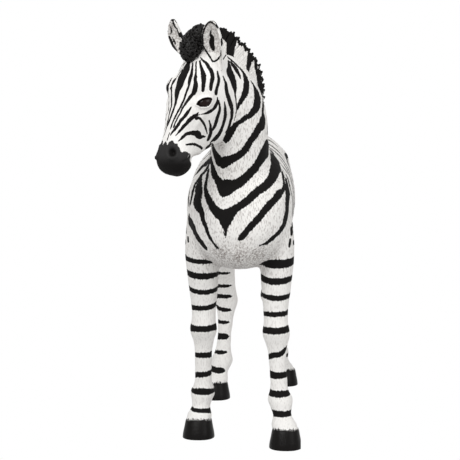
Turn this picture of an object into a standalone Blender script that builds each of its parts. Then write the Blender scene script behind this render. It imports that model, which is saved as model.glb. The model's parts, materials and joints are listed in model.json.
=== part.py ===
# Zebra figurine: a painted figure cast as one solid, standing on its four hooves.
# Frame: +Z up, the zebra faces -Y and its left side is +X.
import math

import bmesh
import bpy
import numpy as np
from mathutils import Matrix

FIGURE_HEIGHT = 0.915
# One drawing unit: a millimetre on a figure 915 mm tall. Every shape below is drawn in it.
UNIT = FIGURE_HEIGHT / 915.0

# How finely the skin is sampled, in drawing units, and how many triangles the casting keeps.
BLEND_VOXEL = 5.0
SKIN_VOXEL = 3.0
SKIN_TRIANGLES = 9300
RING_COUNT = 32
SMALL_RING_COUNT = 16
LOCK_RING_COUNT = 12
RINGS_PER_STATION = 4
OVAL_COUNT = 24

# Where the head sits: the middle of the poll, how far it turns to the zebra's right, and how far it nods.
POLL = np.array([-60.0, -325.0, 838.0])
HEAD_TURN = math.radians(46.0)
HEAD_NOD = math.radians(66.0)

# How far each hoof stands ahead of (-) or behind (+) a square stance.
STRIDE = {"front_left": -43.5, "front_right": 43.5, "hind_left": 90.0, "hind_right": -90.0}
STRIDE_TOP = {"front": 480.0, "hind": 500.0}
# Below the coronet a leg does not slant any more; below the knee all four legs slant a little to the left.
CORONET_HEIGHT = 46.0
SWAY = 5.4
SWAY_TOP = 250.0

# Trunk, breast to buttock: y, middle height, half width, rise above the middle, drop below it, squareness.
TRUNK = [
    (-304, 492, 30, 36, 38, 2.0),
    (-292, 492, 66, 80, 78, 2.0),
    (-266, 494, 94, 114, 105, 2.1),
    (-225, 500, 107, 137, 120, 2.2),
    (-180, 506, 111, 150, 130, 2.2),
    (-120, 508, 111, 152, 134, 2.2),
    (-50, 506, 113, 143, 134, 2.2),
    (30, 506, 117, 139, 132, 2.2),
    (115, 510, 117, 145, 126, 2.1),
    (190, 520, 114, 147, 112, 2.1),
    (255, 528, 109, 137, 100, 2.1),
    (312, 530, 95, 117, 85, 2.0),
    (348, 528, 72, 90, 68, 2.0),
    (368, 525, 38, 52, 42, 2.0),
    (376, 524, 8, 12, 10, 2.0),
]

# Neck, from inside the chest to the poll: x, y, z, half width, reach to the crest, reach to the throat,
# and the share of the head's turn that this ring has taken up.
NECK = [
    (-2, -165, 510, 84, 95, 105, 0.0),
    (-2, -190, 555, 80, 98, 104, 0.10),
    (0, -214, 605, 68, 88, 90, 0.25),
    (3, -236, 655, 58, 76, 76, 0.42),
    (5, -256, 705, 51, 67, 66, 0.60),
    (-4, -276, 752, 46, 58, 58, 0.78),
    (-24, -292, 786, 43, 52, 52, 0.92),
    (-46, -308, 814, 38, 44, 42, 1.0),
    (-56, -317, 828, 22, 24, 24, 1.0),
]

# Head, poll to lips: distance from the poll, half width, rise to the forehead, drop to the jaw, squareness,
# and how much narrower the jaw is than the brow.
HEAD = [
    (-24, 10, 6, 14, 2.0, 0.0),
    (-14, 30, 20, 40, 2.0, 0.0),
    (0, 42, 30, 60, 2.2, 0.05),
    (30, 48, 38, 80, 2.3, 0.10),
    (60, 53, 42, 96, 2.3, 0.16),
    (88, 57, 44, 108, 2.3, 0.22),
    (115, 55, 42, 114, 2.3, 0.27),
    (136, 49, 39, 112, 2.4, 0.30),
    (155, 41, 37, 100, 2.4, 0.28),
    (175, 35, 34, 78, 2.4, 0.24),
    (195, 32, 31.5, 60, 2.4, 0.18),
    (212, 34, 30, 48, 2.3, 0.12),
    (228, 39, 29, 44, 2.2, 0.08),
    (244, 39, 24, 40, 2.1, 0.05),
    (255, 32, 15, 32, 2.0, 0.0),
    (262, 22, 7, 21, 2.0, 0.0),
    (266, 8, 1, 8, 2.0, 0.0),
]

# Legs on the left side, top to coronet: height, x, y, half width, reach forward, reach back.
FORELEG = [
    (540, 62, -182, 34, 50, 54),
    (470, 76, -188, 39, 54, 58),
    (410, 82, -192, 37, 45, 50),
    (370, 81, -194, 35, 38, 42),
    (330, 80, -196, 31.5, 32, 35),
    (290, 79.5, -197, 27, 27, 29),
    (264, 80, -198, 26.5, 27, 27),
    (245, 80.5, -199, 28, 28, 26),
    (224, 81, -198, 25, 24, 25),
    (200, 82, -197, 20.5, 20, 22),
    (150, 84, -196, 19, 18.5, 21.5),
    (118, 85, -195, 20, 21, 24),
    (96, 87, -196, 26, 26, 30),
    (80, 89, -200, 23, 22, 25),
    (66, 91, -205, 20, 20, 21),
    (55, 93, -209, 24, 25, 24),
    (46, 95, -212, 28.5, 30, 28),
    (36, 95, -213, 27, 29, 26),
]
HINDLEG = [
    (590, 58, 262, 40, 80, 74),
    (520, 66, 264, 45, 98, 88),
    (460, 70, 262, 42, 92, 80),
    (405, 67, 266, 35, 68, 60),
    (350, 61, 286, 29, 47, 46),
    (300, 58, 310, 25, 33, 36),
    (256, 56, 338, 25.5, 28, 36),
    (230, 56, 347, 26.5, 28, 30),
    (202, 58, 345, 21, 22, 24),
    (155, 61, 342, 17.5, 19, 21),
    (116, 65, 341, 20, 20, 24),
    (88, 69, 341, 26, 25, 30),
    (74, 72, 339, 23.5, 22, 25),
    (63, 75, 336, 20.5, 20, 22),
    (54, 78, 333, 24, 24, 24),
    (46, 81, 330, 28, 29, 27),
    (36, 82, 330, 27, 28, 26),
]

# Hoof, relative to its own middle: height, half width, reach forward, reach back, shift back.
HOOF = [
    (-8, 35.5, 41, 35, 0),
    (6, 35, 39.5, 34, 0.5),
    (22, 31.8, 35.5, 30.5, 2.5),
    (36, 29, 31.5, 27.5, 5),
    (42, 25, 27, 24, 5.5),
    (46, 12, 13, 12, 6),
]
HOOF_SPOT = {"front": (97.0, -221.0), "hind": (84.0, 328.0)}

# Tail, root to tip: x, y, z, radius.
TAIL = [
    (0, 326, 622, 20),
    (1, 359, 606, 17),
    (3, 376, 572, 14),
    (6, 380, 526, 12),
    (10, 380, 476, 11),
    (14, 380, 434, 12),
    (18, 382, 398, 17),
    (21, 384, 366, 16),
    (24, 384, 342, 9),
    (25, 384, 332, 3),
]

# Ears in the head's own frame: the spot of the base, its height, half width, how far it leans to its side and
# bows outward, and how far the cup turns outward.
EARS = {
    "left": {"base": (44.0, 17.0, 5.0), "length": 87.0, "half": 26.0, "spread": 0.24, "bow": 0.0, "turn": 6.0},
    "right": {"base": (-58.5, 4.0, 4.0), "length": 84.0, "half": 20.0, "spread": 0.20, "bow": 8.0, "turn": 6.0},
}
EAR_WALL = 6.0
# How thin the rim of the ear gets, as a share of the wall squared.
EAR_RIM = 0.3
EAR_LEAN_FORWARD = 0.39
# Up the ear: share of the length, share of the half width, depth of the cup as a share of the half width.
EAR = [
    (-0.22, 0.50, 0.05),
    (0.0, 0.58, 0.32),
    (0.2, 0.86, 0.72),
    (0.42, 1.0, 0.90),
    (0.65, 0.96, 0.74),
    (0.84, 0.76, 0.42),
    (0.95, 0.46, 0.20),
    (1.0, 0.16, 0.06),
]

# Height of the mane at shares of its length, from the poll to the withers.
MANE_HEIGHT = ((0.0, 0.12, 0.3, 0.5, 0.8, 1.0), (36.0, 52.0, 51.0, 40.0, 29.0, 13.0))
MANE_HALF_THICKNESS = 12.0
MANE_LOCKS = 20
# A lock from inside the crest to its tip: share of the height, share of the spacing, share of the thickness.
MANE_LOCK = [(-0.3, 0.8, 1.0), (0.2, 0.8, 1.0), (0.7, 0.72, 0.8), (0.95, 0.5, 0.5), (1.05, 0.15, 0.15)]
FORELOCK_SPOT = (2.0, 2.0, 48.0)
FORELOCK_RADII = (24.0, 37.0, 26.0)
# The mane's first two spots behind the poll, and how far its root sinks into the crest.
MANE_STARTS = [(0, -12, 22), (0, -20, 2)]
MANE_ROOT_DEPTH = 8.0
# Bony ridge over each eye, in the head's own frame.
BROW_SPOT = (37.0, 84.0, 27.0)
BROW_RADII = (17.0, 23.0, 18.0)
EYE_SPOT = (51.0, 112.0, 5.0)
EYE_RADII = (9.0, 14.0, 9.0)

# Where one form runs into the next and the skin is relaxed again: x, y, z and how far around.
SEAMS = [
    (70, -215, 600, 95),
    (-70, -215, 600, 95),
    (0, -285, 585, 95),
    (0, -130, 660, 80),
    (95, -195, 465, 80),
    (-95, -195, 465, 80),
    (95, 180, 500, 100),
    (-95, 180, 500, 100),
    (60, 130, 410, 70),
    (-60, 130, 410, 70),
    (60, -120, 400, 60),
    (-60, -120, 400, 60),
]
SEAM_PASSES = 40

PAINT = {"base": (0.90, 0.89, 0.88, 1.0), "roughness": 0.55, "metallic": 0.0}


# Everything below is drawn in units and scaled to metres when a mesh is made.


def smooth_rows(rows, per_station):
    """Rows of numbers with more rows put between them, on a Catmull-Rom curve through the given ones."""
    rows = np.array(rows, float)
    padded = np.vstack([2 * rows[0] - rows[1], rows, 2 * rows[-1] - rows[-2]])
    made = []
    for i in range(len(rows) - 1):
        before, start, end, after = padded[i : i + 4]
        for t in np.arange(per_station) / per_station:
            made.append(
                0.5
                * (
                    2 * start
                    + (end - before) * t
                    + (2 * before - 5 * start + 4 * end - after) * t**2
                    + (3 * start - before - 3 * end + after) * t**3
                )
            )
    made.append(rows[-1])
    return np.array(made)


def outline(half_width, up, down, square=2.0, narrow=0.0, points=RING_COUNT):
    """A closed ring as (across, upward): a rounded oval whose lower half can be deeper and narrower."""
    angle = np.arange(points) * 2 * math.pi / points
    c, s = np.cos(angle), np.sin(angle)
    across = half_width * np.sign(c) * np.abs(c) ** (2 / square)
    upward = np.where(s > 0, up, down) * np.sign(s) * np.abs(s) ** (2 / square)
    across = across * (1 - narrow * np.clip(-s, 0, 1))
    return across, upward


def add_object(name, points, faces):
    """A mesh object from points in drawing units."""
    mesh = bpy.data.meshes.new(name)
    mesh.from_pydata([tuple(p) for p in np.asarray(points) * UNIT], [], faces)
    mesh.validate()
    shape = bpy.data.objects.new(name, mesh)
    bpy.context.scene.collection.objects.link(shape)
    work = bmesh.new()
    work.from_mesh(mesh)
    bmesh.ops.recalc_face_normals(work, faces=work.faces)
    work.to_mesh(mesh)
    work.free()
    return shape


def add_loft(name, rings):
    """A closed skin over rings of points that all have the same count, with a flat cap on each end."""
    rings = np.asarray(rings, float)
    count, size = rings.shape[:2]
    faces = [
        (i * size + j, i * size + (j + 1) % size, (i + 1) * size + (j + 1) % size, (i + 1) * size + j)
        for i in range(count - 1)
        for j in range(size)
    ]
    faces.append(tuple(range(size)))
    faces.append(tuple(range((count - 1) * size, count * size))[::-1])
    return add_object(name, rings.reshape(-1, 3), faces)


def add_oval(name, middle, radii, axes):
    """An ellipsoid with its own three axes."""
    work = bmesh.new()
    bmesh.ops.create_uvsphere(work, u_segments=OVAL_COUNT, v_segments=OVAL_COUNT * 2 // 3, radius=1.0)
    points = np.array([v.co for v in work.verts]) * np.array(radii)
    faces = [tuple(v.index for v in f.verts) for f in work.faces]
    work.free()
    return add_object(name, points @ np.array(axes) + np.array(middle), faces)


def head_axes():
    """The head's own directions: across to its left, along from poll to lips, and out of the forehead."""
    ahead = np.array([-math.sin(HEAD_TURN), -math.cos(HEAD_TURN), 0.0])
    left = np.array([math.cos(HEAD_TURN), -math.sin(HEAD_TURN), 0.0])
    up = np.array([0.0, 0.0, 1.0])
    along = ahead * math.cos(HEAD_NOD) - up * math.sin(HEAD_NOD)
    brow = ahead * math.sin(HEAD_NOD) + up * math.cos(HEAD_NOD)
    return left, along, brow


def head_point(across, along, brow):
    """A point of the head's own frame, in the figure's frame."""
    return POLL + np.array([across, along, brow]) @ np.array(head_axes())


def trunk():
    rings = []
    for y, z, half, up, down, square in smooth_rows(TRUNK, RINGS_PER_STATION):
        across, upward = outline(half, up, down, square)
        rings.append(np.stack([across, np.full_like(across, y), z + upward], axis=1))
    return add_loft("trunk", rings)


def neck_frames():
    """Middle, sideways and crest directions and sizes of each ring of the neck."""
    rows = smooth_rows(NECK, RINGS_PER_STATION)
    middle = rows[:, :3]
    tangent = np.gradient(middle, axis=0)
    tangent[:, 0] *= 0.5
    tangent /= np.linalg.norm(tangent, axis=1)[:, None]
    turn = rows[:, 6] * HEAD_TURN
    side = np.stack([np.cos(turn), -np.sin(turn), np.zeros_like(turn)], axis=1)
    side -= tangent * (side * tangent).sum(1)[:, None]
    side /= np.linalg.norm(side, axis=1)[:, None]
    crest = np.cross(tangent, side)
    crest *= np.sign(crest[:, 1])[:, None]
    return middle, side, crest, rows[:, 3:6]


def neck():
    rings = []
    for middle, side, crest, (half, up, down) in zip(*neck_frames()):
        across, upward = outline(half, up, down, 2.0)
        rings.append(middle + across[:, None] * side + upward[:, None] * crest)
    return add_loft("neck", rings)


def head():
    left, along, brow = head_axes()
    rings = []
    for reach, half, up, down, square, narrow in smooth_rows(HEAD, RINGS_PER_STATION):
        across, upward = outline(half, up, down, square, narrow)
        rings.append(POLL + reach * along + across[:, None] * left + upward[:, None] * brow)
    return add_loft("head", rings)


def stride_at(leg, height):
    """How far a leg is carried forward or back at a height: nothing at the body, all of it at the ground."""
    top = STRIDE_TOP[leg.split("_")[0]]
    return STRIDE[leg] * np.clip((top - height) / (top - CORONET_HEIGHT), 0.0, 1.0)


def sway_at(height):
    """How far all four legs are carried to the figure's left at a height."""
    return SWAY * np.clip(1 - height / SWAY_TOP, 0.0, 1.0)


def leg(name, rows):
    sign = 1 if name.endswith("left") else -1
    rings = []
    for z, x, y, half, front, back in smooth_rows(rows, RINGS_PER_STATION):
        across, along = outline(half, back, front, 2.2)
        rings.append(
            np.stack(
                [sign * x + sway_at(z) + across, y + stride_at(name, z) + along, np.full_like(across, z)], axis=1
            )
        )
    return add_loft("leg_" + name, rings)


def hoof_middle(name):
    x, y = HOOF_SPOT[name.split("_")[0]]
    sign = 1 if name.endswith("left") else -1
    return sign * x + sway_at(0.0), y + stride_at(name, 0.0)


def hoof(name):
    x, y = hoof_middle(name)
    rings = []
    for z, half, front, back, shift in smooth_rows(HOOF, RINGS_PER_STATION):
        across, along = outline(half, back, front, 2.3)
        rings.append(np.stack([x + across, y + shift + along, np.full_like(across, z)], axis=1))
    return add_loft("hoof_" + name, rings)


def tail():
    rows = smooth_rows(TAIL, RINGS_PER_STATION)
    tangent = np.gradient(rows[:, :3], axis=0)
    tangent /= np.linalg.norm(tangent, axis=1)[:, None]
    side = np.array([1.0, 0.0, 0.0])
    rings = []
    for (x, y, z, radius), behind in zip(rows, np.cross(tangent, side)):
        c, s = outline(radius, radius, radius, points=SMALL_RING_COUNT)
        rings.append(np.array([x, y, z]) + c[:, None] * side + s[:, None] * behind)
    return add_loft("tail", rings)


def ear(which):
    """A leaf-shaped cup: crescent sections stacked from the base to the tip."""
    sign = 1 if which == "left" else -1
    own = EARS[which]
    left = head_axes()[0]
    ahead = np.array([-math.sin(HEAD_TURN), -math.cos(HEAD_TURN), 0.0])
    base = head_point(*own["base"])
    rise = np.array([0.0, 0.0, 1.0]) + EAR_LEAN_FORWARD * ahead + sign * own["spread"] * left
    rise /= np.linalg.norm(rise)
    turn = math.radians(own["turn"])
    opening = ahead * math.cos(turn) + sign * left * math.sin(turn)
    opening -= rise * (opening @ rise)
    opening /= np.linalg.norm(opening)
    side = np.cross(rise, opening)
    rings = []
    for share, width, hollow in smooth_rows(EAR, RINGS_PER_STATION):
        half = max(width, 0.06) * own["half"]
        depth = hollow * own["half"]
        bend = np.linspace(-1, 1, SMALL_RING_COUNT)
        wall = EAR_WALL * (0.55 + 0.45 * min(1.0, width * 1.2))
        # the middle of the wall is a parabola across the ear; its two faces lie either side of it
        curve = np.stack([bend * half, depth * (bend**2 - 0.5)], axis=1)
        facing = np.stack([-2 * depth * bend, np.full_like(bend, half)], axis=1)
        facing /= np.linalg.norm(facing, axis=1)[:, None]
        thick = 0.5 * wall * np.sqrt(np.clip(1 - bend**6, EAR_RIM, 1))
        ring = np.vstack([curve + facing * thick[:, None], (curve - facing * thick[:, None])[::-1]])
        bow = own["bow"] * math.sin(math.pi * min(max(share, 0.0), 1.0))
        middle = base + rise * share * own["length"] + sign * left * bow
        rings.append(middle + ring[:, :1] * side + ring[:, 1:] * opening)
    return add_loft("ear_" + which, rings)


def mane():
    """A row of upright locks along the crest, from the poll to the withers."""
    middle, side, crest, sizes = neck_frames()
    line = middle + crest * (sizes[:, 1] - MANE_ROOT_DEPTH)[:, None]
    left, along, brow = head_axes()
    # the rings of the neck that the mane follows, poll first
    kept = slice(6, -3)
    line = np.vstack([*[head_point(*spot) for spot in MANE_STARTS], line[::-1][kept]])
    out = np.vstack([-along + 0.5 * brow, -along, crest[::-1][kept]])
    out /= np.linalg.norm(out, axis=1)[:, None]
    across = np.vstack([left, left, side[::-1][kept]])
    length = np.concatenate([[0], np.cumsum(np.linalg.norm(np.diff(line, axis=0), axis=1))])
    pieces = []
    for k in range(MANE_LOCKS):
        at = length[-1] * (k + 0.5) / MANE_LOCKS
        spot = np.array([np.interp(at, length, line[:, i]) for i in range(3)])
        upward = np.array([np.interp(at, length, out[:, i]) for i in range(3)])
        sideways = np.array([np.interp(at, length, across[:, i]) for i in range(3)])
        upward /= np.linalg.norm(upward)
        sideways -= upward * (sideways @ upward)
        sideways /= np.linalg.norm(sideways)
        lengthways = np.cross(upward, sideways)
        share = k / (MANE_LOCKS - 1)
        height = np.interp(share, *MANE_HEIGHT)
        spacing = length[-1] / MANE_LOCKS
        rings = []
        for up, wide, thick in MANE_LOCK:
            half = MANE_HALF_THICKNESS * thick
            c, s = outline(spacing * wide, half, half, points=LOCK_RING_COUNT)
            rings.append(spot + upward * up * height + c[:, None] * lengthways + s[:, None] * sideways)
        pieces.append(add_loft(f"mane_{k}", rings))
    return pieces


def join(name, shapes):
    """One object that holds the meshes of all the given ones."""
    work = bmesh.new()
    for shape in shapes:
        work.from_mesh(shape.data)
    mesh = bpy.data.meshes.new(name)
    work.to_mesh(mesh)
    work.free()
    for shape in shapes:
        bpy.data.objects.remove(shape)
    joined = bpy.data.objects.new(name, mesh)
    bpy.context.scene.collection.objects.link(joined)
    return joined


def apply_modifiers(shape):
    """The object's evaluated mesh put in place of its own."""
    graph = bpy.context.evaluated_depsgraph_get()
    shape.data = bpy.data.meshes.new_from_object(shape.evaluated_get(graph))
    shape.modifiers.clear()


def skin_over(shape, voxel, relax):
    """One continuous skin over overlapping shapes, relaxed so that they flow into each other."""
    remesh = shape.modifiers.new("skin", "REMESH")
    remesh.mode = "VOXEL"
    remesh.voxel_size = voxel * UNIT
    smooth = shape.modifiers.new("relax", "SMOOTH")
    smooth.factor = 0.5
    smooth.iterations = relax
    apply_modifiers(shape)


def blend_seams(shape):
    """The skin relaxed a second time, only where the neck, the legs and the jaw run into one another."""
    group = shape.vertex_groups.new(name="seams")
    points = np.array([v.co for v in shape.data.vertices]) / UNIT
    weight = np.zeros(len(points))
    for x, y, z, reach in SEAMS:
        away = np.linalg.norm(points - [x, y, z], axis=1) / reach
        weight = np.maximum(weight, np.clip(1.5 - 1.5 * away, 0.0, 1.0))
    for i in np.flatnonzero(weight):
        group.add([int(i)], float(weight[i]), "REPLACE")
    smooth = shape.modifiers.new("blend", "SMOOTH")
    smooth.vertex_group = "seams"
    smooth.factor = 0.5
    smooth.iterations = SEAM_PASSES
    apply_modifiers(shape)


def thin_out(shape, triangles):
    """The skin with fewer triangles."""
    now = sum(len(p.vertices) - 2 for p in shape.data.polygons)
    decimate = shape.modifiers.new("thin_out", "DECIMATE")
    decimate.ratio = triangles / now
    apply_modifiers(shape)


def cut_soles(shape):
    """The figure cut flat at the ground, so that each hoof has a level sole."""
    work = bmesh.new()
    work.from_mesh(shape.data)
    cut = bmesh.ops.bisect_plane(
        work,
        geom=work.verts[:] + work.edges[:] + work.faces[:],
        plane_co=(0, 0, 0),
        plane_no=(0, 0, 1),
        clear_inner=True,
    )
    edges = [e for e in cut["geom_cut"] if isinstance(e, bmesh.types.BMEdge)]
    bmesh.ops.holes_fill(work, edges=edges)
    bmesh.ops.triangulate(work, faces=work.faces)
    bmesh.ops.recalc_face_normals(work, faces=work.faces)
    work.to_mesh(shape.data)
    work.free()


def centre_on_ground(shape):
    """The origin at the middle of the figure's outline on the ground."""
    corners = np.array([v.co for v in shape.data.vertices])
    middle = (corners.min(0) + corners.max(0)) / 2
    shape.data.transform(Matrix.Translation((-middle[0], -middle[1], 0)))


def paint():
    material = bpy.data.materials.new("painted_cast")
    material.use_nodes = True
    shader = material.node_tree.nodes["Principled BSDF"]
    shader.inputs["Base Color"].default_value = PAINT["base"]
    shader.inputs["Roughness"].default_value = PAINT["roughness"]
    shader.inputs["Metallic"].default_value = PAINT["metallic"]
    return material


def build():
    for old in list(bpy.data.objects):
        bpy.data.objects.remove(old)
    legs = [leg(name, FORELEG if name.startswith("front") else HINDLEG) for name in STRIDE]
    brows = [
        add_oval("brow", head_point(sign * BROW_SPOT[0], BROW_SPOT[1], BROW_SPOT[2]), BROW_RADII, head_axes())
        for sign in (1, -1)
    ]
    body = join("body", [trunk(), neck(), head(), *brows, *legs])
    skin_over(body, BLEND_VOXEL, 6)
    blend_seams(body)
    eyes = [
        add_oval("eye", head_point(sign * EYE_SPOT[0], EYE_SPOT[1], EYE_SPOT[2]), EYE_RADII, head_axes())
        for sign in (1, -1)
    ]
    forelock = add_oval("forelock", head_point(*FORELOCK_SPOT), FORELOCK_RADII, head_axes())
    hooves = [hoof(name) for name in STRIDE]
    figure = join("zebra_figure", [body, *hooves, *eyes, forelock, tail(), ear("left"), ear("right"), *mane()])
    skin_over(figure, SKIN_VOXEL, 2)
    thin_out(figure, SKIN_TRIANGLES)
    cut_soles(figure)
    centre_on_ground(figure)
    figure.data.materials.clear()
    figure.data.materials.append(paint())
    figure.data.shade_smooth()
    collection = bpy.data.collections.new("zebra_figurine")
    bpy.context.scene.collection.children.link(collection)
    collection.objects.link(figure)
    bpy.context.scene.collection.objects.unlink(figure)


build()
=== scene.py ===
import json
import math
import bmesh
import bpy
import numpy as np
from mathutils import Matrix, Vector
from mathutils.bvhtree import BVHTree

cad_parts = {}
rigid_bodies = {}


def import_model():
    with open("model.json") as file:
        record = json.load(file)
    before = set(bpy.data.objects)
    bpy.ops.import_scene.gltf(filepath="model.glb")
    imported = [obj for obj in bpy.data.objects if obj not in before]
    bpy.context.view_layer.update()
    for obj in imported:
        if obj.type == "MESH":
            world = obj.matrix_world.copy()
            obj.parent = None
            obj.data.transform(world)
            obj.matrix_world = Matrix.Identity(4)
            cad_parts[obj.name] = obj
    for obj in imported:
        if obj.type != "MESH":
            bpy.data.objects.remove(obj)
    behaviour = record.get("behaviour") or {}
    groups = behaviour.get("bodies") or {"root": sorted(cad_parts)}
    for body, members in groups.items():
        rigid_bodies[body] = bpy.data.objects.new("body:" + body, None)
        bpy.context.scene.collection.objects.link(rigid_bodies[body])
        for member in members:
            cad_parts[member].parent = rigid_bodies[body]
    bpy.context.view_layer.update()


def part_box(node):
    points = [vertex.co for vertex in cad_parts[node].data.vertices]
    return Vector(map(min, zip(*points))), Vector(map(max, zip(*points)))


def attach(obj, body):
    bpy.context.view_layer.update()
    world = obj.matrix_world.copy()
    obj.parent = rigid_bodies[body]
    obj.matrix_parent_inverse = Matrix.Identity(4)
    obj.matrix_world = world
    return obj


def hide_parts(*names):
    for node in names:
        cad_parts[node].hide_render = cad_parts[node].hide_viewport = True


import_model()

# A painted zebra figurine. Lengths below are millimetres of the figure unless said otherwise.
# x runs to the zebra's left, y runs from its breast to its tail, z runs up.
metres = 0.001
farAway = 99.0  # a distance to anything that isn't near
detail = {"body": 2.6, "head": 1.55}  # spacing of the skin

photoCamera = {
    "azimuth": 3.0,  # degrees round to the zebra's left
    "distance": 3045.0,  # to the toe plane
    "height": 757.0,
    "tilt": 5.36,  # degrees downward
    "base": (-15.75, -294.0),  # the point of the ground plan the camera faces
    "millimetresPerPixel": 2.1,  # at the toe plane
    "frame": 460,
    "sensor": 36,
}


# drawing tools
def unit(vectors):
    # each vector divided by its own length
    return vectors / np.linalg.norm(vectors, axis=-1, keepdims=True)


def runLength(points):
    # how far along a path each of its points lies
    return np.concatenate([[0], np.cumsum(np.linalg.norm(np.diff(points, axis=0), axis=1))])


def columnsAt(at, length, rows):
    # every column of the rows read at other places along the path
    return np.stack([np.interp(at, length, column) for column in rows.T], axis=1)


def asPoints(x, y, z):
    # numbers and arrays side by side as points
    return np.stack(np.broadcast_arrays(x, y, z), axis=1)


def section(middle, across, side, upward, up):
    # an outline laid across a path: middle + across * side + upward * up
    return middle + np.outer(across, side) + np.outer(upward, up)


def linkObject(name, data):
    thing = bpy.data.objects.new(name, data)
    bpy.context.scene.collection.objects.link(thing)
    return thing


def smoothRows(rows, perStation):
    # Catmull-Rom: each span is the cubic through its two ends with slopes from the neighbours
    rows = np.array(rows, float)
    padded = np.vstack([2 * rows[0] - rows[1], rows, 2 * rows[-1] - rows[-2]])
    made = []
    for i in range(len(rows) - 1):
        before, start, end, after = padded[i : i + 4]
        for t in np.arange(perStation) / perStation:
            square = 2 * before - 5 * start + 4 * end - after
            cube = 3 * start - before - 3 * end + after
            made.append(0.5 * (2 * start + (end - before) * t + square * t**2 + cube * t**3))
    made.append(rows[-1])
    return np.array(made)


def outline(half, up, down, square=2.0, narrow=0.0, points=48):
    # superellipse: |x/half|^square + |z/reach|^square = 1, lower half deeper and narrower
    angle = np.arange(points) * 2 * math.pi / points
    c, s = np.cos(angle), np.sin(angle)
    across = half * np.sign(c) * np.abs(c) ** (2 / square)
    upward = np.where(s > 0, up, down) * np.sign(s) * np.abs(s) ** (2 / square)
    return across * (1 - narrow * np.clip(-s, 0, 1)), upward


def addObject(name, points, faces):
    mesh = bpy.data.meshes.new(name)
    mesh.from_pydata([tuple(p) for p in np.asarray(points) * metres], [], faces)
    mesh.validate()
    shape = linkObject(name, mesh)
    work = bmesh.new()
    work.from_mesh(mesh)
    bmesh.ops.recalc_face_normals(work, faces=work.faces)
    work.to_mesh(mesh)
    work.free()
    return shape


def loftFaces(count, size, first):
    # walls of four corners between rings, and a cap on either end
    corner = first + np.arange(count * size).reshape(count, size)
    following = np.roll(corner, -1, axis=1)
    walls = np.stack([corner[:-1], following[:-1], following[1:], corner[1:]], axis=2).reshape(-1, 4)
    return [*walls.tolist(), corner[0].tolist(), corner[-1][::-1].tolist()]


def addLoft(name, rings):
    return addLofts(name, [rings])


def addLofts(name, lofts):
    # many lofts in one mesh
    points, faces = [], []
    first = 0
    for rings in lofts:
        rings = np.asarray(rings, float)
        count, size = rings.shape[:2]
        points.append(rings.reshape(-1, 3))
        faces += loftFaces(count, size, first)
        first += count * size
    return addObject(name, np.vstack(points), faces)


def addOval(name, middle, radii, axes, fine=32):
    work = bmesh.new()
    bmesh.ops.create_uvsphere(work, u_segments=fine, v_segments=fine * 2 // 3, radius=1.0)
    points = np.array([v.co for v in work.verts]) * np.array(radii)
    faces = [tuple(v.index for v in f.verts) for f in work.faces]
    work.free()
    return addObject(name, points @ np.array(axes) + np.array(middle), faces)


def joinShapes(name, shapes):
    work = bmesh.new()
    for shape in shapes:
        work.from_mesh(shape.data)
    mesh = bpy.data.meshes.new(name)
    work.to_mesh(mesh)
    work.free()
    for shape in shapes:
        bpy.data.objects.remove(shape)
    return linkObject(name, mesh)


def applyModifiers(shape):
    graph = bpy.context.evaluated_depsgraph_get()
    shape.data = bpy.data.meshes.new_from_object(shape.evaluated_get(graph))
    shape.modifiers.clear()


def skinOver(shape, voxel, relax):
    remesh = shape.modifiers.new("skin", "REMESH")
    remesh.mode = "VOXEL"
    remesh.voxel_size = voxel * metres
    smooth = shape.modifiers.new("relax", "SMOOTH")
    smooth.factor = 0.5
    smooth.iterations = relax
    applyModifiers(shape)


def readPoints(shape):
    flat = np.empty(len(shape.data.vertices) * 3)
    shape.data.vertices.foreach_get("co", flat)
    return flat.reshape(-1, 3) / metres


def readNormals(shape):
    flat = np.empty(len(shape.data.vertices) * 3)
    shape.data.vertex_normals.foreach_get("vector", flat)
    return flat.reshape(-1, 3)


def writePoints(shape, points):
    shape.data.vertices.foreach_set("co", (points * metres).ravel())
    shape.data.update()


def writeAttribute(shape, name, values):
    values = np.asarray(values, np.float32)
    kind = "FLOAT_VECTOR" if values.ndim == 2 else "FLOAT"
    layer = shape.data.attributes.new(name, kind, "POINT")
    layer.data.foreach_set("vector" if values.ndim == 2 else "value", values.ravel())


def ramp(values, low, high):
    # 0 below low, 1 above high, smooth between
    t = np.clip((values - low) / (high - low), 0.0, 1.0)
    return t * t * (3 - 2 * t)


def latticeNoise(points, seed=0):
    # value noise: random numbers at whole-number corners, blended smoothly between them, -1 to 1
    corner = np.floor(points).astype(np.int64)
    t = points - corner
    t = t * t * (3 - 2 * t)
    total = np.zeros(len(points))
    for dx in (0, 1):
        for dy in (0, 1):
            for dz in (0, 1):
                k = corner + [dx, dy, dz]
                mixed = np.bitwise_xor.reduce(k * [73856093, 19349663, 83492791], axis=1) ^ (seed * 2654435761)
                mixed = (mixed ^ (mixed >> 13)) * 1274126177 & 0x7FFFFFFF
                value = ((mixed >> 7) & 0xFFFF) / 32767.5 - 1
                total += value * np.where([dx, dy, dz], t, 1 - t).prod(1)
    return total


# the zebra's body
stance = {
    "poll": np.array([-60.0, -325.0, 838.0]),
    "headTurn": math.radians(46.0),
    "headNod": math.radians(66.0),
    "stride": {"frontLeft": -43.5, "frontRight": 43.5, "hindLeft": 90.0, "hindRight": -90.0},
    "strideTop": {"front": 480.0, "hind": 500.0},
    "coronetHeight": 46.0,
    "sway": 5.4,
    "swayTop": 250.0,
}
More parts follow.
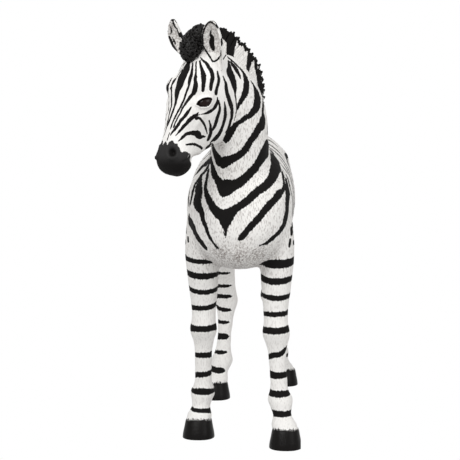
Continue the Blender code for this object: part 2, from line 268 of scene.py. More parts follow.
# breast to buttock: y, middle height, half width, rise, drop, squareness
trunkRows = [
    (-304, 492, 30, 36, 38, 2.0), (-292, 492, 66, 80, 78, 2.0), (-266, 494, 94, 114, 105, 2.1),
    (-225, 500, 107, 137, 120, 2.2), (-180, 506, 111, 150, 130, 2.2), (-120, 508, 111, 152, 134, 2.2),
    (-50, 506, 113, 143, 134, 2.2), (30, 506, 117, 139, 132, 2.2), (115, 510, 117, 145, 126, 2.1),
    (190, 520, 114, 147, 112, 2.1), (255, 528, 109, 137, 100, 2.1), (312, 530, 95, 117, 85, 2.0),
    (348, 528, 72, 90, 68, 2.0), (368, 525, 38, 52, 42, 2.0), (376, 524, 8, 12, 10, 2.0),
]
# chest to poll: x, y, z, half width, reach to the crest, reach to the throat, share of the head's turn
neckRows = [
    (-2, -165, 510, 84, 95, 105, 0.0), (-2, -190, 555, 80, 98, 104, 0.10), (0, -214, 605, 68, 88, 90, 0.25),
    (3, -236, 655, 58, 76, 76, 0.42), (5, -256, 705, 51, 67, 66, 0.60), (-4, -276, 752, 46, 58, 58, 0.78),
    (-24, -292, 786, 43, 52, 52, 0.92), (-46, -308, 814, 38, 44, 42, 1.0), (-56, -317, 828, 22, 24, 24, 1.0),
]
# poll to lips: along, half width, rise to the brow, drop to the jaw, squareness, narrowing of the jaw
headRows = [
    (-24, 10, 6, 14, 2.0, 0.0), (-14, 30, 20, 40, 2.0, 0.0), (0, 42, 30, 60, 2.2, 0.05),
    (30, 48, 38, 80, 2.3, 0.10), (60, 53, 42, 96, 2.3, 0.16), (88, 57, 44, 108, 2.3, 0.22),
    (115, 55, 42, 114, 2.3, 0.27), (136, 49, 39, 112, 2.4, 0.30), (155, 41, 37, 100, 2.4, 0.28),
    (175, 35, 34, 78, 2.4, 0.24), (195, 32, 31.5, 60, 2.4, 0.18), (212, 34, 30, 48, 2.3, 0.12),
    (228, 39, 29, 44, 2.2, 0.08), (244, 39, 24, 40, 2.1, 0.05), (255, 32, 15, 32, 2.0, 0.0),
    (262, 22, 7, 21, 2.0, 0.0), (266, 8, 1, 8, 2.0, 0.0),
]
# left legs, top to coronet: z, x, y, half width, reach forward, reach back
forelegRows = [
    (540, 62, -182, 34, 50, 54), (470, 76, -188, 39, 54, 58), (410, 82, -192, 37, 45, 50),
    (370, 81, -194, 35, 38, 42), (330, 80, -196, 31.5, 32, 35), (290, 79.5, -197, 27, 27, 29),
    (264, 80, -198, 26.5, 27, 27), (245, 80.5, -199, 28, 28, 26), (224, 81, -198, 25, 24, 25),
    (200, 82, -197, 20.5, 20, 22), (150, 84, -196, 19, 18.5, 21.5), (118, 85, -195, 20, 21, 24),
    (96, 87, -196, 26, 26, 30), (80, 89, -200, 23, 22, 25), (66, 91, -205, 20, 20, 21),
    (55, 93, -209, 24, 25, 24), (46, 95, -212, 28.5, 30, 28), (36, 95, -213, 27, 29, 26),
]
hindlegRows = [
    (590, 58, 262, 40, 80, 74), (520, 66, 264, 45, 98, 88), (460, 70, 262, 42, 92, 80),
    (405, 67, 266, 35, 68, 60), (350, 61, 286, 29, 47, 46), (300, 58, 310, 25, 33, 36),
    (256, 56, 338, 25.5, 28, 36), (230, 56, 347, 26.5, 28, 30), (202, 58, 345, 21, 22, 24),
    (155, 61, 342, 17.5, 19, 21), (116, 65, 341, 20, 20, 24), (88, 69, 341, 26, 25, 30),
    (74, 72, 339, 23.5, 22, 25), (63, 75, 336, 20.5, 20, 22), (54, 78, 333, 24, 24, 24),
    (46, 81, 330, 28, 29, 27), (36, 82, 330, 27, 28, 26),
]
# hoof about its own middle: z, half width, forward, back, shift back
hoofRows = [
    (-8, 35.5, 41, 35, 0), (6, 35, 39.5, 34, 0.5), (22, 31.8, 35.5, 30.5, 2.5),
    (36, 29, 31.5, 27.5, 5), (42, 25, 27, 24, 5.5), (46, 12, 13, 12, 6),
]
hoofSpot = {"front": (97.0, -221.0), "hind": (84.0, 328.0)}
# root to tip: x, y, z, radius
tailRows = [
    (0, 326, 622, 20), (1, 359, 606, 17), (3, 376, 572, 14), (6, 380, 526, 12), (10, 380, 476, 11),
    (14, 380, 434, 12), (18, 382, 398, 17), (21, 384, 366, 16), (24, 384, 342, 9), (25, 384, 332, 3),
]
ears = {
    # base in the head's frame, length, half width, lean to its side, bow outward, turn outward in degrees
    "left": {"base": (44.0, 17.0, 5.0), "length": 87.0, "half": 26.0, "spread": 0.24, "bow": 0.0, "turn": 6.0},
    "right": {"base": (-58.5, 4.0, 4.0), "length": 84.0, "half": 20.0, "spread": 0.20, "bow": 8.0, "turn": 6.0},
    "wall": 6.0,
    "rim": 0.3,
    "leanForward": 0.39,
    # share of the length, share of the half width, depth of the cup over the half width
    "rows": [
        (-0.22, 0.50, 0.05), (0.0, 0.58, 0.32), (0.2, 0.86, 0.72), (0.42, 1.0, 0.90),
        (0.65, 0.96, 0.74), (0.84, 0.76, 0.42), (0.95, 0.46, 0.20), (1.0, 0.16, 0.06),
    ],
}
coreSkin = {"spacing": 5.0, "relaxing": 6, "seamRounds": 40}
brows = {"spot": (37.0, 84.0, 27.0), "radii": (17.0, 23.0, 18.0)}
# where one form runs into the next: x, y, z, reach
seams = [
    (70, -215, 600, 95), (-70, -215, 600, 95), (0, -285, 585, 95), (0, -130, 660, 80),
    (95, -195, 465, 80), (-95, -195, 465, 80), (95, 180, 500, 100), (-95, 180, 500, 100),
    (60, 130, 410, 70), (-60, 130, 410, 70), (60, -120, 400, 60), (-60, -120, 400, 60),
]


def headAhead():
    return np.array([-math.sin(stance["headTurn"]), -math.cos(stance["headTurn"]), 0.0])


def headAxes():
    turn, nod = stance["headTurn"], stance["headNod"]
    ahead = headAhead()
    left = np.array([math.cos(turn), -math.sin(turn), 0.0])
    up = np.array([0.0, 0.0, 1.0])
    along = ahead * math.cos(nod) - up * math.sin(nod)
    brow = ahead * math.sin(nod) + up * math.cos(nod)
    return np.array([left, along, brow])


def headPoint(across, along, brow):
    return stance["poll"] + np.array([across, along, brow]) @ headAxes()


def toHead(points):
    return (points - stance["poll"]) @ headAxes().T


def legEnd(name):
    return "front" if name.startswith("front") else "hind"


def legSide(name):
    return 1 if name.endswith("Left") else -1


def strideAt(name, height):
    top = stance["strideTop"][legEnd(name)]
    return stance["stride"][name] * np.clip((top - height) / (top - stance["coronetHeight"]), 0.0, 1.0)


def swayAt(height):
    return stance["sway"] * np.clip(1 - height / stance["swayTop"], 0.0, 1.0)


def legRows(name):
    # the rows of one leg in the figure's own frame: z, x, y, half width, forward, back
    rows = smoothRows(forelegRows if legEnd(name) == "front" else hindlegRows, 4)
    rows[:, 1] = legSide(name) * rows[:, 1] + swayAt(rows[:, 0])
    rows[:, 2] += strideAt(name, rows[:, 0])
    return rows


def addTrunk():
    rings = []
    for y, z, half, up, down, square in smoothRows(trunkRows, 4):
        across, upward = outline(half, up, down, square)
        rings.append(asPoints(across, y, z + upward))
    return addLoft("trunk", rings)


def neckFrames():
    rows = smoothRows(neckRows, 4)
    middle = rows[:, :3]
    tangent = np.gradient(middle, axis=0)
    tangent[:, 0] *= 0.5
    tangent = unit(tangent)
    turn = rows[:, 6] * stance["headTurn"]
    side = asPoints(np.cos(turn), -np.sin(turn), 0.0)
    side -= tangent * (side * tangent).sum(1)[:, None]
    side = unit(side)
    crest = np.cross(tangent, side)
    crest *= np.sign(crest[:, 1])[:, None]
    return middle, side, crest, rows[:, 3:6]


def addNeck():
    rings = []
    for middle, side, crest, (half, up, down) in zip(*neckFrames()):
        across, upward = outline(half, up, down)
        rings.append(section(middle, across, side, upward, crest))
    return addLoft("neck", rings)


def addHead():
    left, along, brow = headAxes()
    rings = []
    for reach, half, up, down, square, narrow in smoothRows(headRows, 4):
        across, upward = outline(half, up, down, square, narrow)
        rings.append(section(stance["poll"] + reach * along, across, left, upward, brow))
    return addLoft("head", rings)


def addLeg(name):
    rings = []
    for z, x, y, half, front, back in legRows(name):
        across, along = outline(half, back, front, 2.2)
        rings.append(asPoints(x + across, y + along, z))
    return addLoft("leg", rings)


def hoofMiddle(name):
    x, y = hoofSpot[legEnd(name)]
    return legSide(name) * x + swayAt(0.0), y + strideAt(name, 0.0)


def addHoof(name):
    x, y = hoofMiddle(name)
    rings = []
    for z, half, front, back, shift in smoothRows(hoofRows, 4):
        across, along = outline(half, back, front, 2.3)
        rings.append(asPoints(x + across, y + shift + along, z))
    return addLoft("hoof", rings)


def addTail():
    rows = smoothRows(tailRows, 4)
    tangent = np.gradient(rows[:, :3], axis=0)
    tangent = unit(tangent)
    side = np.array([1.0, 0.0, 0.0])
    rings = []
    for (x, y, z, radius), behind in zip(rows, np.cross(tangent, side)):
        across, upward = outline(radius, radius, radius, points=16)
        rings.append(section(np.array([x, y, z]), across, side, upward, behind))
    return addLoft("tail", rings)


def earFrame(which):
    sign = 1 if which == "left" else -1
    own = ears[which]
    left = headAxes()[0]
    ahead = headAhead()
    rise = np.array([0.0, 0.0, 1.0]) + ears["leanForward"] * ahead + sign * own["spread"] * left
    rise = unit(rise)
    turn = math.radians(own["turn"])
    opening = ahead * math.cos(turn) + sign * left * math.sin(turn)
    opening -= rise * (opening @ rise)
    opening = unit(opening)
    return headPoint(*own["base"]), rise, opening, np.cross(rise, opening), sign * left * own["bow"]


def earRows(which, perStation=4):
    # middle of the wall across the ear at each level: a parabola, deeper in the middle of the cup
    base, rise, opening, side, bow = earFrame(which)
    rows = []
    for share, width, hollow in smoothRows(ears["rows"], perStation):
        half = max(width, 0.06) * ears[which]["half"]
        bowed = bow * math.sin(math.pi * min(max(share, 0.0), 1.0))
        middle = base + rise * share * ears[which]["length"] + bowed
        rows.append((width, half, hollow * ears[which]["half"], middle))
    return rows, side, opening


def addEar(which):
    rows, side, opening = earRows(which)
    rings = []
    for width, half, depth, middle in rows:
        bend = np.linspace(-1, 1, 24)
        wall = ears["wall"] * (0.55 + 0.45 * min(1.0, width * 1.2))
        curve = np.stack([bend * half, depth * (bend**2 - 0.5)], axis=1)
        facing = np.stack([-2 * depth * bend, np.full_like(bend, half)], axis=1)
        facing = unit(facing)
        thick = 0.5 * wall * np.sqrt(np.clip(1 - bend**6, ears["rim"], 1))
        ring = np.vstack([curve + facing * thick[:, None], (curve - facing * thick[:, None])[::-1]])
        rings.append(middle + ring[:, :1] * side + ring[:, 1:] * opening)
    return addLoft("ear", rings)


def blendSeams(shape):
    group = shape.vertex_groups.new(name="seams")
    points = readPoints(shape)
    weight = np.zeros(len(points))
    for x, y, z, reach in seams:
        away = np.linalg.norm(points - [x, y, z], axis=1) / reach
        weight = np.maximum(weight, np.clip(1.5 - 1.5 * away, 0.0, 1.0))
    for i in np.flatnonzero(weight):
        group.add([int(i)], float(weight[i]), "REPLACE")
    smooth = shape.modifiers.new("blend", "SMOOTH")
    smooth.vertex_group = "seams"
    smooth.factor = 0.5
    smooth.iterations = coreSkin["seamRounds"]
    applyModifiers(shape)


print("drawing the body")
legNames = list(stance["stride"])
browShapes = [
    addOval("brow", headPoint(sign * brows["spot"][0], *brows["spot"][1:]), brows["radii"], headAxes(), 24)
    for sign in (1, -1)
]
core = joinShapes("core", [addTrunk(), addNeck(), addHead(), *browShapes, *[addLeg(name) for name in legNames]])
skinOver(core, coreSkin["spacing"], coreSkin["relaxing"])
blendSeams(core)
source = joinShapes(
    "source",
    [core, *[addHoof(name) for name in legNames], addTail(), addEar("left"), addEar("right")],
)


# muscles and bones under the skin: x, y, z, radii, how far out; on both sides unless x is 0
bodyForms = [
    (40, -300, 470, 36, 30, 48, 6.0),  # breast muscles
    (0, -305, 470, 9, 40, 60, -5.0),  # groove between them
    (112, -205, 520, 26, 34, 60, 5.0),  # point of the shoulder
    (105, -120, 560, 30, 16, 80, 4.0),  # back of the shoulder blade
    (108, -150, 520, 30, 8, 60, -3.0),
    (100, -150, 420, 30, 34, 30, 5.0),  # elbow
    (118, 175, 470, 40, 60, 60, 5.0),  # stifle and thigh
    (105, 225, 610, 34, 26, 22, 5.0),  # point of the hip
    (60, 350, 560, 30, 26, 50, 5.0),  # buttock
    (0, 372, 500, 10, 40, 70, -6.0),  # cleft under the tail
    (112, 120, 440, 40, 14, 40, -5.0),  # fold of the flank
    (0, 60, 378, 22, 150, 14, 3.0),  # midline of the belly
    (48, -285, 600, 16, 60, 90, 3.5),  # muscle along the neck
    (0, -330, 640, 8, 40, 90, -3.0),  # windpipe grooves beside the throat
]
# knees, hocks and pasterns: leg end, z, how far from the middle line (across, along), radius, how far out;
# on both sides of the leg unless across is 0
jointForms = [
    ("front", 240, 0, -30, 17, 3.0), ("front", 238, 26, 0, 13, 2.5), ("front", 222, 0, 28, 12, 3.0),
    ("front", 97, 22, 8, 11, 2.5), ("front", 92, 0, 30, 12, 3.0), ("front", 160, 19, 9, 8, -1.8),
    ("front", 130, 19, 9, 8, -1.8), ("front", 190, 19, 9, 8, -1.8),
    ("hind", 262, 0, 38, 14, 4.0), ("hind", 240, 26, 4, 13, 2.5), ("hind", 290, 18, 26, 12, -3.5),
    ("hind", 320, 20, 24, 13, -3.5), ("hind", 90, 22, 8, 11, 2.5), ("hind", 86, 0, 30, 12, 3.0),
    ("hind", 155, 17, 8, 8, -1.8), ("hind", 125, 18, 8, 8, -1.8), ("hind", 185, 18, 8, 8, -1.8),
]


def swell(points, middle, radii):
    # bell of height 1 at the middle: e to the minus (distance / radius) squared
    away = (points - middle) / radii
    return np.exp(-(away**2).sum(1))


def pushOf(forms, points):
    # the bells of all forms added up, on both sides unless a form lies on the middle line
    push = np.zeros(len(points))
    for x, y, z, rx, ry, rz, out in forms:
        for sign in (1, -1) if x else (1,):
            push += out * swell(points, [sign * x, y, z], [rx, ry, rz])
    return push


def shapeBody(shape):
    points, normals = readPoints(shape), readNormals(shape)
    push = pushOf(bodyForms, points)
    for name in legNames:
        rows = legRows(name)[::-1]
        for end, z, across, along, radius, out in jointForms:
            if legEnd(name) == end:
                x = np.interp(z, rows[:, 0], rows[:, 1])
                y = np.interp(z, rows[:, 0], rows[:, 2]) + along
                for sign in (1, -1) if across else (1,):
                    push += out * swell(points, [x + sign * across, y, z], [radius, radius, radius * 1.3])
    writePoints(shape, points + normals * push[:, None])


# splitting the skin into pieces that meet edge to edge
cuts = {
    "neckHeight": 668.0,
    "neckLean": 0.35,
    "loin": 95.0,
    "headMargin": 4.0,
    "easing": 16.0,  # the finer skin eases onto the coarser one over this height
    "met": 3.0,
    "snap": 0.4,
}
headRoom = {"lowest": 570.0, "rearmost": -150.0}  # what the finer skin is made of
relaxing = {"head": 4, "body": 2}  # rounds of smoothing after each skinning


def inHead(points, margin):
    # within the head's own outline, grown by a margin
    own = toHead(points)
    rows = smoothRows(headRows, 4)
    drop = np.interp(own[:, 1], rows[:, 0], rows[:, 3])
    half = np.interp(own[:, 1], rows[:, 0], rows[:, 1])
    return (own[:, 2] > -drop - margin) & (np.abs(own[:, 0]) < half + 2 * margin) & (own[:, 1] > 60)


def cutShape(shape, point, normal, name, forHead=None):
    # the skin in front of a plane, closed with a flat cap; the muzzle stays with the head
    mesh = shape.data.copy()
    piece = linkObject(name, mesh)
    work = bmesh.new()
    work.from_mesh(mesh)
    point, normal = np.array(point), np.array(normal) / np.linalg.norm(normal)
    bmesh.ops.bisect_plane(
        work,
        geom=work.verts[:] + work.edges[:] + work.faces[:],
        plane_co=Vector(point) * metres,
        plane_no=Vector(normal),
        dist=cuts["snap"] * metres,
        use_snap_center=True,
        clear_inner=forHead is None,
    )
    if forHead is not None:
        middles = np.array([f.calc_center_median() for f in work.faces]) / metres
        above = (middles - point) @ normal > 0
        muzzle = inHead(middles, cuts["headMargin"])
        drop = ~(above | muzzle) if forHead else (above | muzzle)
        bmesh.ops.delete(work, geom=[f for f, gone in zip(work.faces[:], drop) if gone], context="FACES")
    rim = [e for e in work.edges if e.is_boundary]
    for edge in rim:
        edge.smooth = False  # the cap doesn't tilt the skin's shading
    bmesh.ops.holes_fill(work, edges=rim)
    bmesh.ops.recalc_face_normals(work, faces=work.faces)
    work.to_mesh(mesh)
    work.free()
    return piece


def treeOf(*shapes):
    points, faces = [], []
    first = 0
    for shape in shapes:
        own = readPoints(shape)
        points.append(own)
        faces += [[first + i for i in p.vertices] for p in shape.data.polygons]
        first += len(own)
    return BVHTree.FromPolygons([Vector(p) for p in np.vstack(points)], faces)


def meetBelow(upper, lower):
    # the finer skin eases onto the coarser one before the cut
    points = readPoints(upper)
    height = (points - neckPlane[0]) @ neckPlane[1]
    near = np.flatnonzero((np.abs(height) < cuts["easing"]) & ~inHead(points, cuts["headMargin"]))
    tree = treeOf(lower)
    for i in near:
        spot = np.array(tree.find_nearest(Vector(points[i]))[0])
        points[i] += (spot - points[i]) * (1 - ramp(abs(height[i]), cuts["met"], cuts["easing"]))
    writePoints(upper, points)


neckPlane = (np.array([0.0, -256.0, cuts["neckHeight"]]), np.array([0.0, -cuts["neckLean"], 1.0]))
headSkin = cutShape(source, (0, 0, headRoom["lowest"]), (0, 0, 1), "offcut")
headSkin = cutShape(headSkin, (0, headRoom["rearmost"], 0), (0, -1, 0), "offcut")
skinOver(headSkin, detail["head"], relaxing["head"])
shapeBody(headSkin)
skinOver(source, detail["body"], relaxing["body"])
shapeBody(source)
meetBelow(headSkin, source)
headSkin = cutShape(headSkin, *neckPlane, "head_skin", True)
bodySkin = cutShape(source, *neckPlane, "body", False)
rearSkin = cutShape(bodySkin, (0, cuts["loin"], 0), (0, 1, 0), "hindquarters_skin")
foreSkin = cutShape(bodySkin, (0, cuts["loin"], 0), (0, -1, 0), "forequarters_skin")
skinPieces = [headSkin, foreSkin, rearSkin]
for shape in [source, bodySkin, *[o for o in bpy.data.objects if o.name.startswith("offcut")]]:
    bpy.data.objects.remove(shape)
for piece in skinPieces:
    print(piece.name, "triangles", sum(len(p.vertices) - 2 for p in piece.data.polygons))


# seeing the photograph
def cameraFrame():
    azimuth, tilt = math.radians(photoCamera["azimuth"]), math.radians(photoCamera["tilt"])
    right = np.array([math.cos(azimuth), math.sin(azimuth), 0.0])
    back = np.array([math.sin(azimuth), -math.cos(azimuth), 0.0])
    eye = np.array([*photoCamera["base"], 0.0]) + back * photoCamera["distance"]
    eye[2] = photoCamera["height"]
    up = np.array([0.0, 0.0, 1.0])
    forward = -back * math.cos(tilt) - up * math.sin(tilt)
    above = np.cross(right, forward)
    return eye, right, above, forward


def photoRays(spots):
    # directions from the eye through places in the photograph
    eye, right, above, forward = cameraFrame()
    focal = photoCamera["distance"] / photoCamera["millimetresPerPixel"]
    middle = photoCamera["frame"] / 2
    spots = np.asarray(spots, float)
    rays = forward * focal + (spots[:, :1] - middle) * right - (spots[:, 1:2] - middle) * above
    return eye, unit(rays)


def castFrom(eye, rays, tree):
    spots = np.full((len(rays), 3), np.nan)
    for i, ray in enumerate(rays):
        where = tree.ray_cast(Vector(eye if np.ndim(eye) == 1 else eye[i]), Vector(ray))[0]
        if where is not None:
            spots[i] = where
    return spots


sampleSpacing = {"photo": 0.45, "mane": 0.7, "figure": 2.0}  # pixels, pixels, millimetres


def fillWidths(rows):
    # a point without a width keeps the width before it
    made = []
    width = 1.0
    for row in rows:
        width = row[-1] if len(row) == 3 else width
        made.append((row[0], row[1], width))
    return made


def alongStroke(rows, step):
    rows = smoothRows(fillWidths(rows), 8)
    length = runLength(rows[:, :2])
    return columnsAt(np.arange(0, length[-1] + step, step), length, rows)


def castStrokes(strokes, tree, wider=1.0, steepest=2.2):
    # strokes drawn over the photograph become points on the skin with half widths measured on it
    made = []
    for rows in strokes:
        line = alongStroke(rows, sampleSpacing["photo"])
        sideways = np.gradient(line[:, :2], axis=0)[:, ::-1] * [1, -1]
        sideways /= np.linalg.norm(sideways, axis=1)[:, None] + 1e-9
        half = line[:, 2:3] * 0.5 * wider
        eye, rays = photoRays(line[:, :2])
        middle = castFrom(eye, rays, tree)
        oneSide = castFrom(eye, photoRays(line[:, :2] + sideways * half)[1], tree)
        other = castFrom(eye, photoRays(line[:, :2] - sideways * half)[1], tree)
        flat = half[:, 0] * photoCamera["millimetresPerPixel"]
        reach = np.stack([np.linalg.norm(oneSide - middle, axis=1), np.linalg.norm(other - middle, axis=1)])
        reach = np.where(np.isnan(reach) | (reach > steepest * flat), flat, reach).mean(0)
        kept = ~np.isnan(middle[:, 0])
        made.append(np.hstack([middle, reach[:, None]])[kept])
    return np.vstack(made)


# carving of the face, in the head's frame: across, along, brow, radii, how far out
faceForms = [
    (54, 114, -14, 14, 28, 9, -2.0),  # hollow under the eye
    (44, 145, -2, 10, 40, 7, 2.5),  # facial crest
    (30, 178, 6, 12, 30, 14, -2.0),  # hollow above it
    (44, 70, -55, 18, 34, 34, 4.0),  # jaw muscle
    (40, 122, -72, 14, 22, 26, -3.0),
    (30, 52, 36, 14, 18, 12, -2.0),  # hollow above the eye
    (0, 258, -24, 20, 12, 7, 2.0),  # lips
    (0, 205, -54, 20, 18, 12, 2.0),  # chin
    (0, 150, 40, 10, 60, 8, 1.2),  # nose bone
]
# nostril and mouth as they are seen in the photograph, in its pixels; depths in millimetres
noseLook = {
    "nostril": (172.3, 152.6, 4.3, 5.2),
    "nostrilDepth": 9.0,
    "rimHeight": 2.2,
    "fold": (171.6, 157.3, 2.7, 2.4),
    "foldHeight": 6.5,
    "mouth": [(190.5, 155.5), (188.4, 158.0), (186.0, 160.2), (183.2, 161.6)],
    "chinTuck": (195.5, 160.0, 4.5, 4.5),
    "tuckDepth": 7.0,
    "mouthDepth": 3.0,
    "mouthHalfWidth": 0.9,
    "rim": (1.3, 0.22),  # place and width of the nostril's rim, as shares of the nostril
    "well": (1.1, 0.8),  # where the nostril starts to sink and over what share
    "facing": (0.05, 0.35),
    "along": (195, 212),  # where the muzzle begins, from the poll
    "tuckAlong": (180, 205),
}
# the eye's almond as it is seen in the photograph, and how the socket is cut
eyeLook = {
    "almond": [(197.2, 104.2), (199.4, 100.8), (203.0, 98.9), (207.5, 98.0), (211.4, 99.0), (210.2, 103.2),
               (206.6, 106.0), (201.6, 106.3)],
    "middle": (204.6, 102.2),
    "lidHeight": 2.6,
    "lidWidth": 1.5,
    "socketDepth": 7.0,
    "ball": (18.0, 12.5, 12.5),
    "ballSink": 11.6,
    "outward": (0.86, 0.12, 0.5),
    # the part of the head it lies in: least across, middle along, reach along, lowest below the brow
    "around": (22, 105, 60, -60),
}


def toPhoto(points):
    eye, right, above, forward = cameraFrame()
    focal = photoCamera["distance"] / photoCamera["millimetresPerPixel"]
    away = points - eye
    depth = away @ forward
    middle = photoCamera["frame"] / 2
    return np.stack([middle + focal * (away @ right) / depth, middle - focal * (away @ above) / depth], axis=1)


def pathDistance(spots, path):
    path = np.asarray(path, float)
    best = np.full(len(spots), 1e9)
    for start, run in zip(path[:-1], np.diff(path, axis=0)):
        t = np.clip(((spots - start) @ run) / (run @ run), 0, 1)
        best = np.minimum(best, np.linalg.norm(spots - start - t[:, None] * run, axis=1))
    return best


def almondDistance(spots):
    # signed distance in pixels to the almond's edge, negative inside
    edge = smoothRows(eyeLook["almond"] + eyeLook["almond"][:1], 8)
    inside = np.zeros(len(spots), bool)
    for start, end in zip(edge[:-1], edge[1:]):
        run = end - start
        crosses = (start[1] > spots[:, 1]) != (end[1] > spots[:, 1])
        level = start[0] + (spots[:, 1] - start[1]) * run[0] / (run[1] if run[1] else 1e-9)
        inside ^= crosses & (spots[:, 0] < level)
    return np.where(inside, -1, 1) * pathDistance(spots, edge)


def eyeDistance(points):
    # the same almond on both sides of the head
    own = toHead(points)
    across, along, reach, below = eyeLook["around"]
    near = (np.abs(own[:, 0]) > across) & (np.abs(own[:, 1] - along) < reach) & (own[:, 2] > below)
    best = np.full(len(points), farAway)
    own[:, 0] = np.abs(own[:, 0])
    best[near] = almondDistance(toPhoto(stance["poll"] + own[near] @ headAxes()))
    return best


def photoOfLeft(points):
    # where the left half of the head, and the right half mirrored onto it, is seen in the photograph
    own = toHead(points)
    own[:, 0] = np.abs(own[:, 0])
    return toPhoto(stance["poll"] + own @ headAxes())


def facingShare(points, normals, low, high):
    # how far the skin, mirrored to the left half of the head, faces the camera
    own = normals @ headAxes().T
    own[:, 0] *= np.sign(toHead(points)[:, 0])
    return ramp((own @ headAxes()) @ -cameraFrame()[3], low, high)


def ovalDistance(spots, oval):
    return np.sqrt(((spots[:, 0] - oval[0]) / oval[2]) ** 2 + ((spots[:, 1] - oval[1]) / oval[3]) ** 2)


def shapeFace(shape):
    points, normals = readPoints(shape), readNormals(shape)
    own = toHead(points)
    push = pushOf(faceForms, own)
    spots = photoOfLeft(points)
    muzzle = facingShare(points, normals, *noseLook["facing"]) * ramp(own[:, 1], *noseLook["along"])
    nostril = ovalDistance(spots, noseLook["nostril"])
    edge, span = noseLook["well"]
    push -= muzzle * noseLook["nostrilDepth"] * ramp(edge - nostril, 0, span)
    edge, span = noseLook["rim"]
    push += muzzle * noseLook["rimHeight"] * np.exp(-(((nostril - edge) / span) ** 2))
    push += muzzle * noseLook["foldHeight"] * np.exp(-(ovalDistance(spots, noseLook["fold"]) ** 2))
    tuck = np.exp(-(ovalDistance(spots, noseLook["chinTuck"]) ** 2))
    push -= ramp(own[:, 1], *noseLook["tuckAlong"]) * noseLook["tuckDepth"] * tuck
    mouth = pathDistance(spots, smoothRows(noseLook["mouth"], 6)) / noseLook["mouthHalfWidth"]
    push -= muzzle * noseLook["mouthDepth"] * np.exp(-(mouth**2))
    away = eyeDistance(points)
    push += eyeLook["lidHeight"] * np.exp(-(((away - 1.0) / eyeLook["lidWidth"]) ** 2))
    push -= eyeLook["socketDepth"] * ramp(-away, -0.3, 1.0)
    writePoints(shape, points + normals * push[:, None])


smoothTree = treeOf(headSkin)
where = castFrom(*photoRays([eyeLook["middle"], eyeLook["almond"][0], eyeLook["almond"][4]]), smoothTree)
shapeFace(headSkin)
print("face carved")


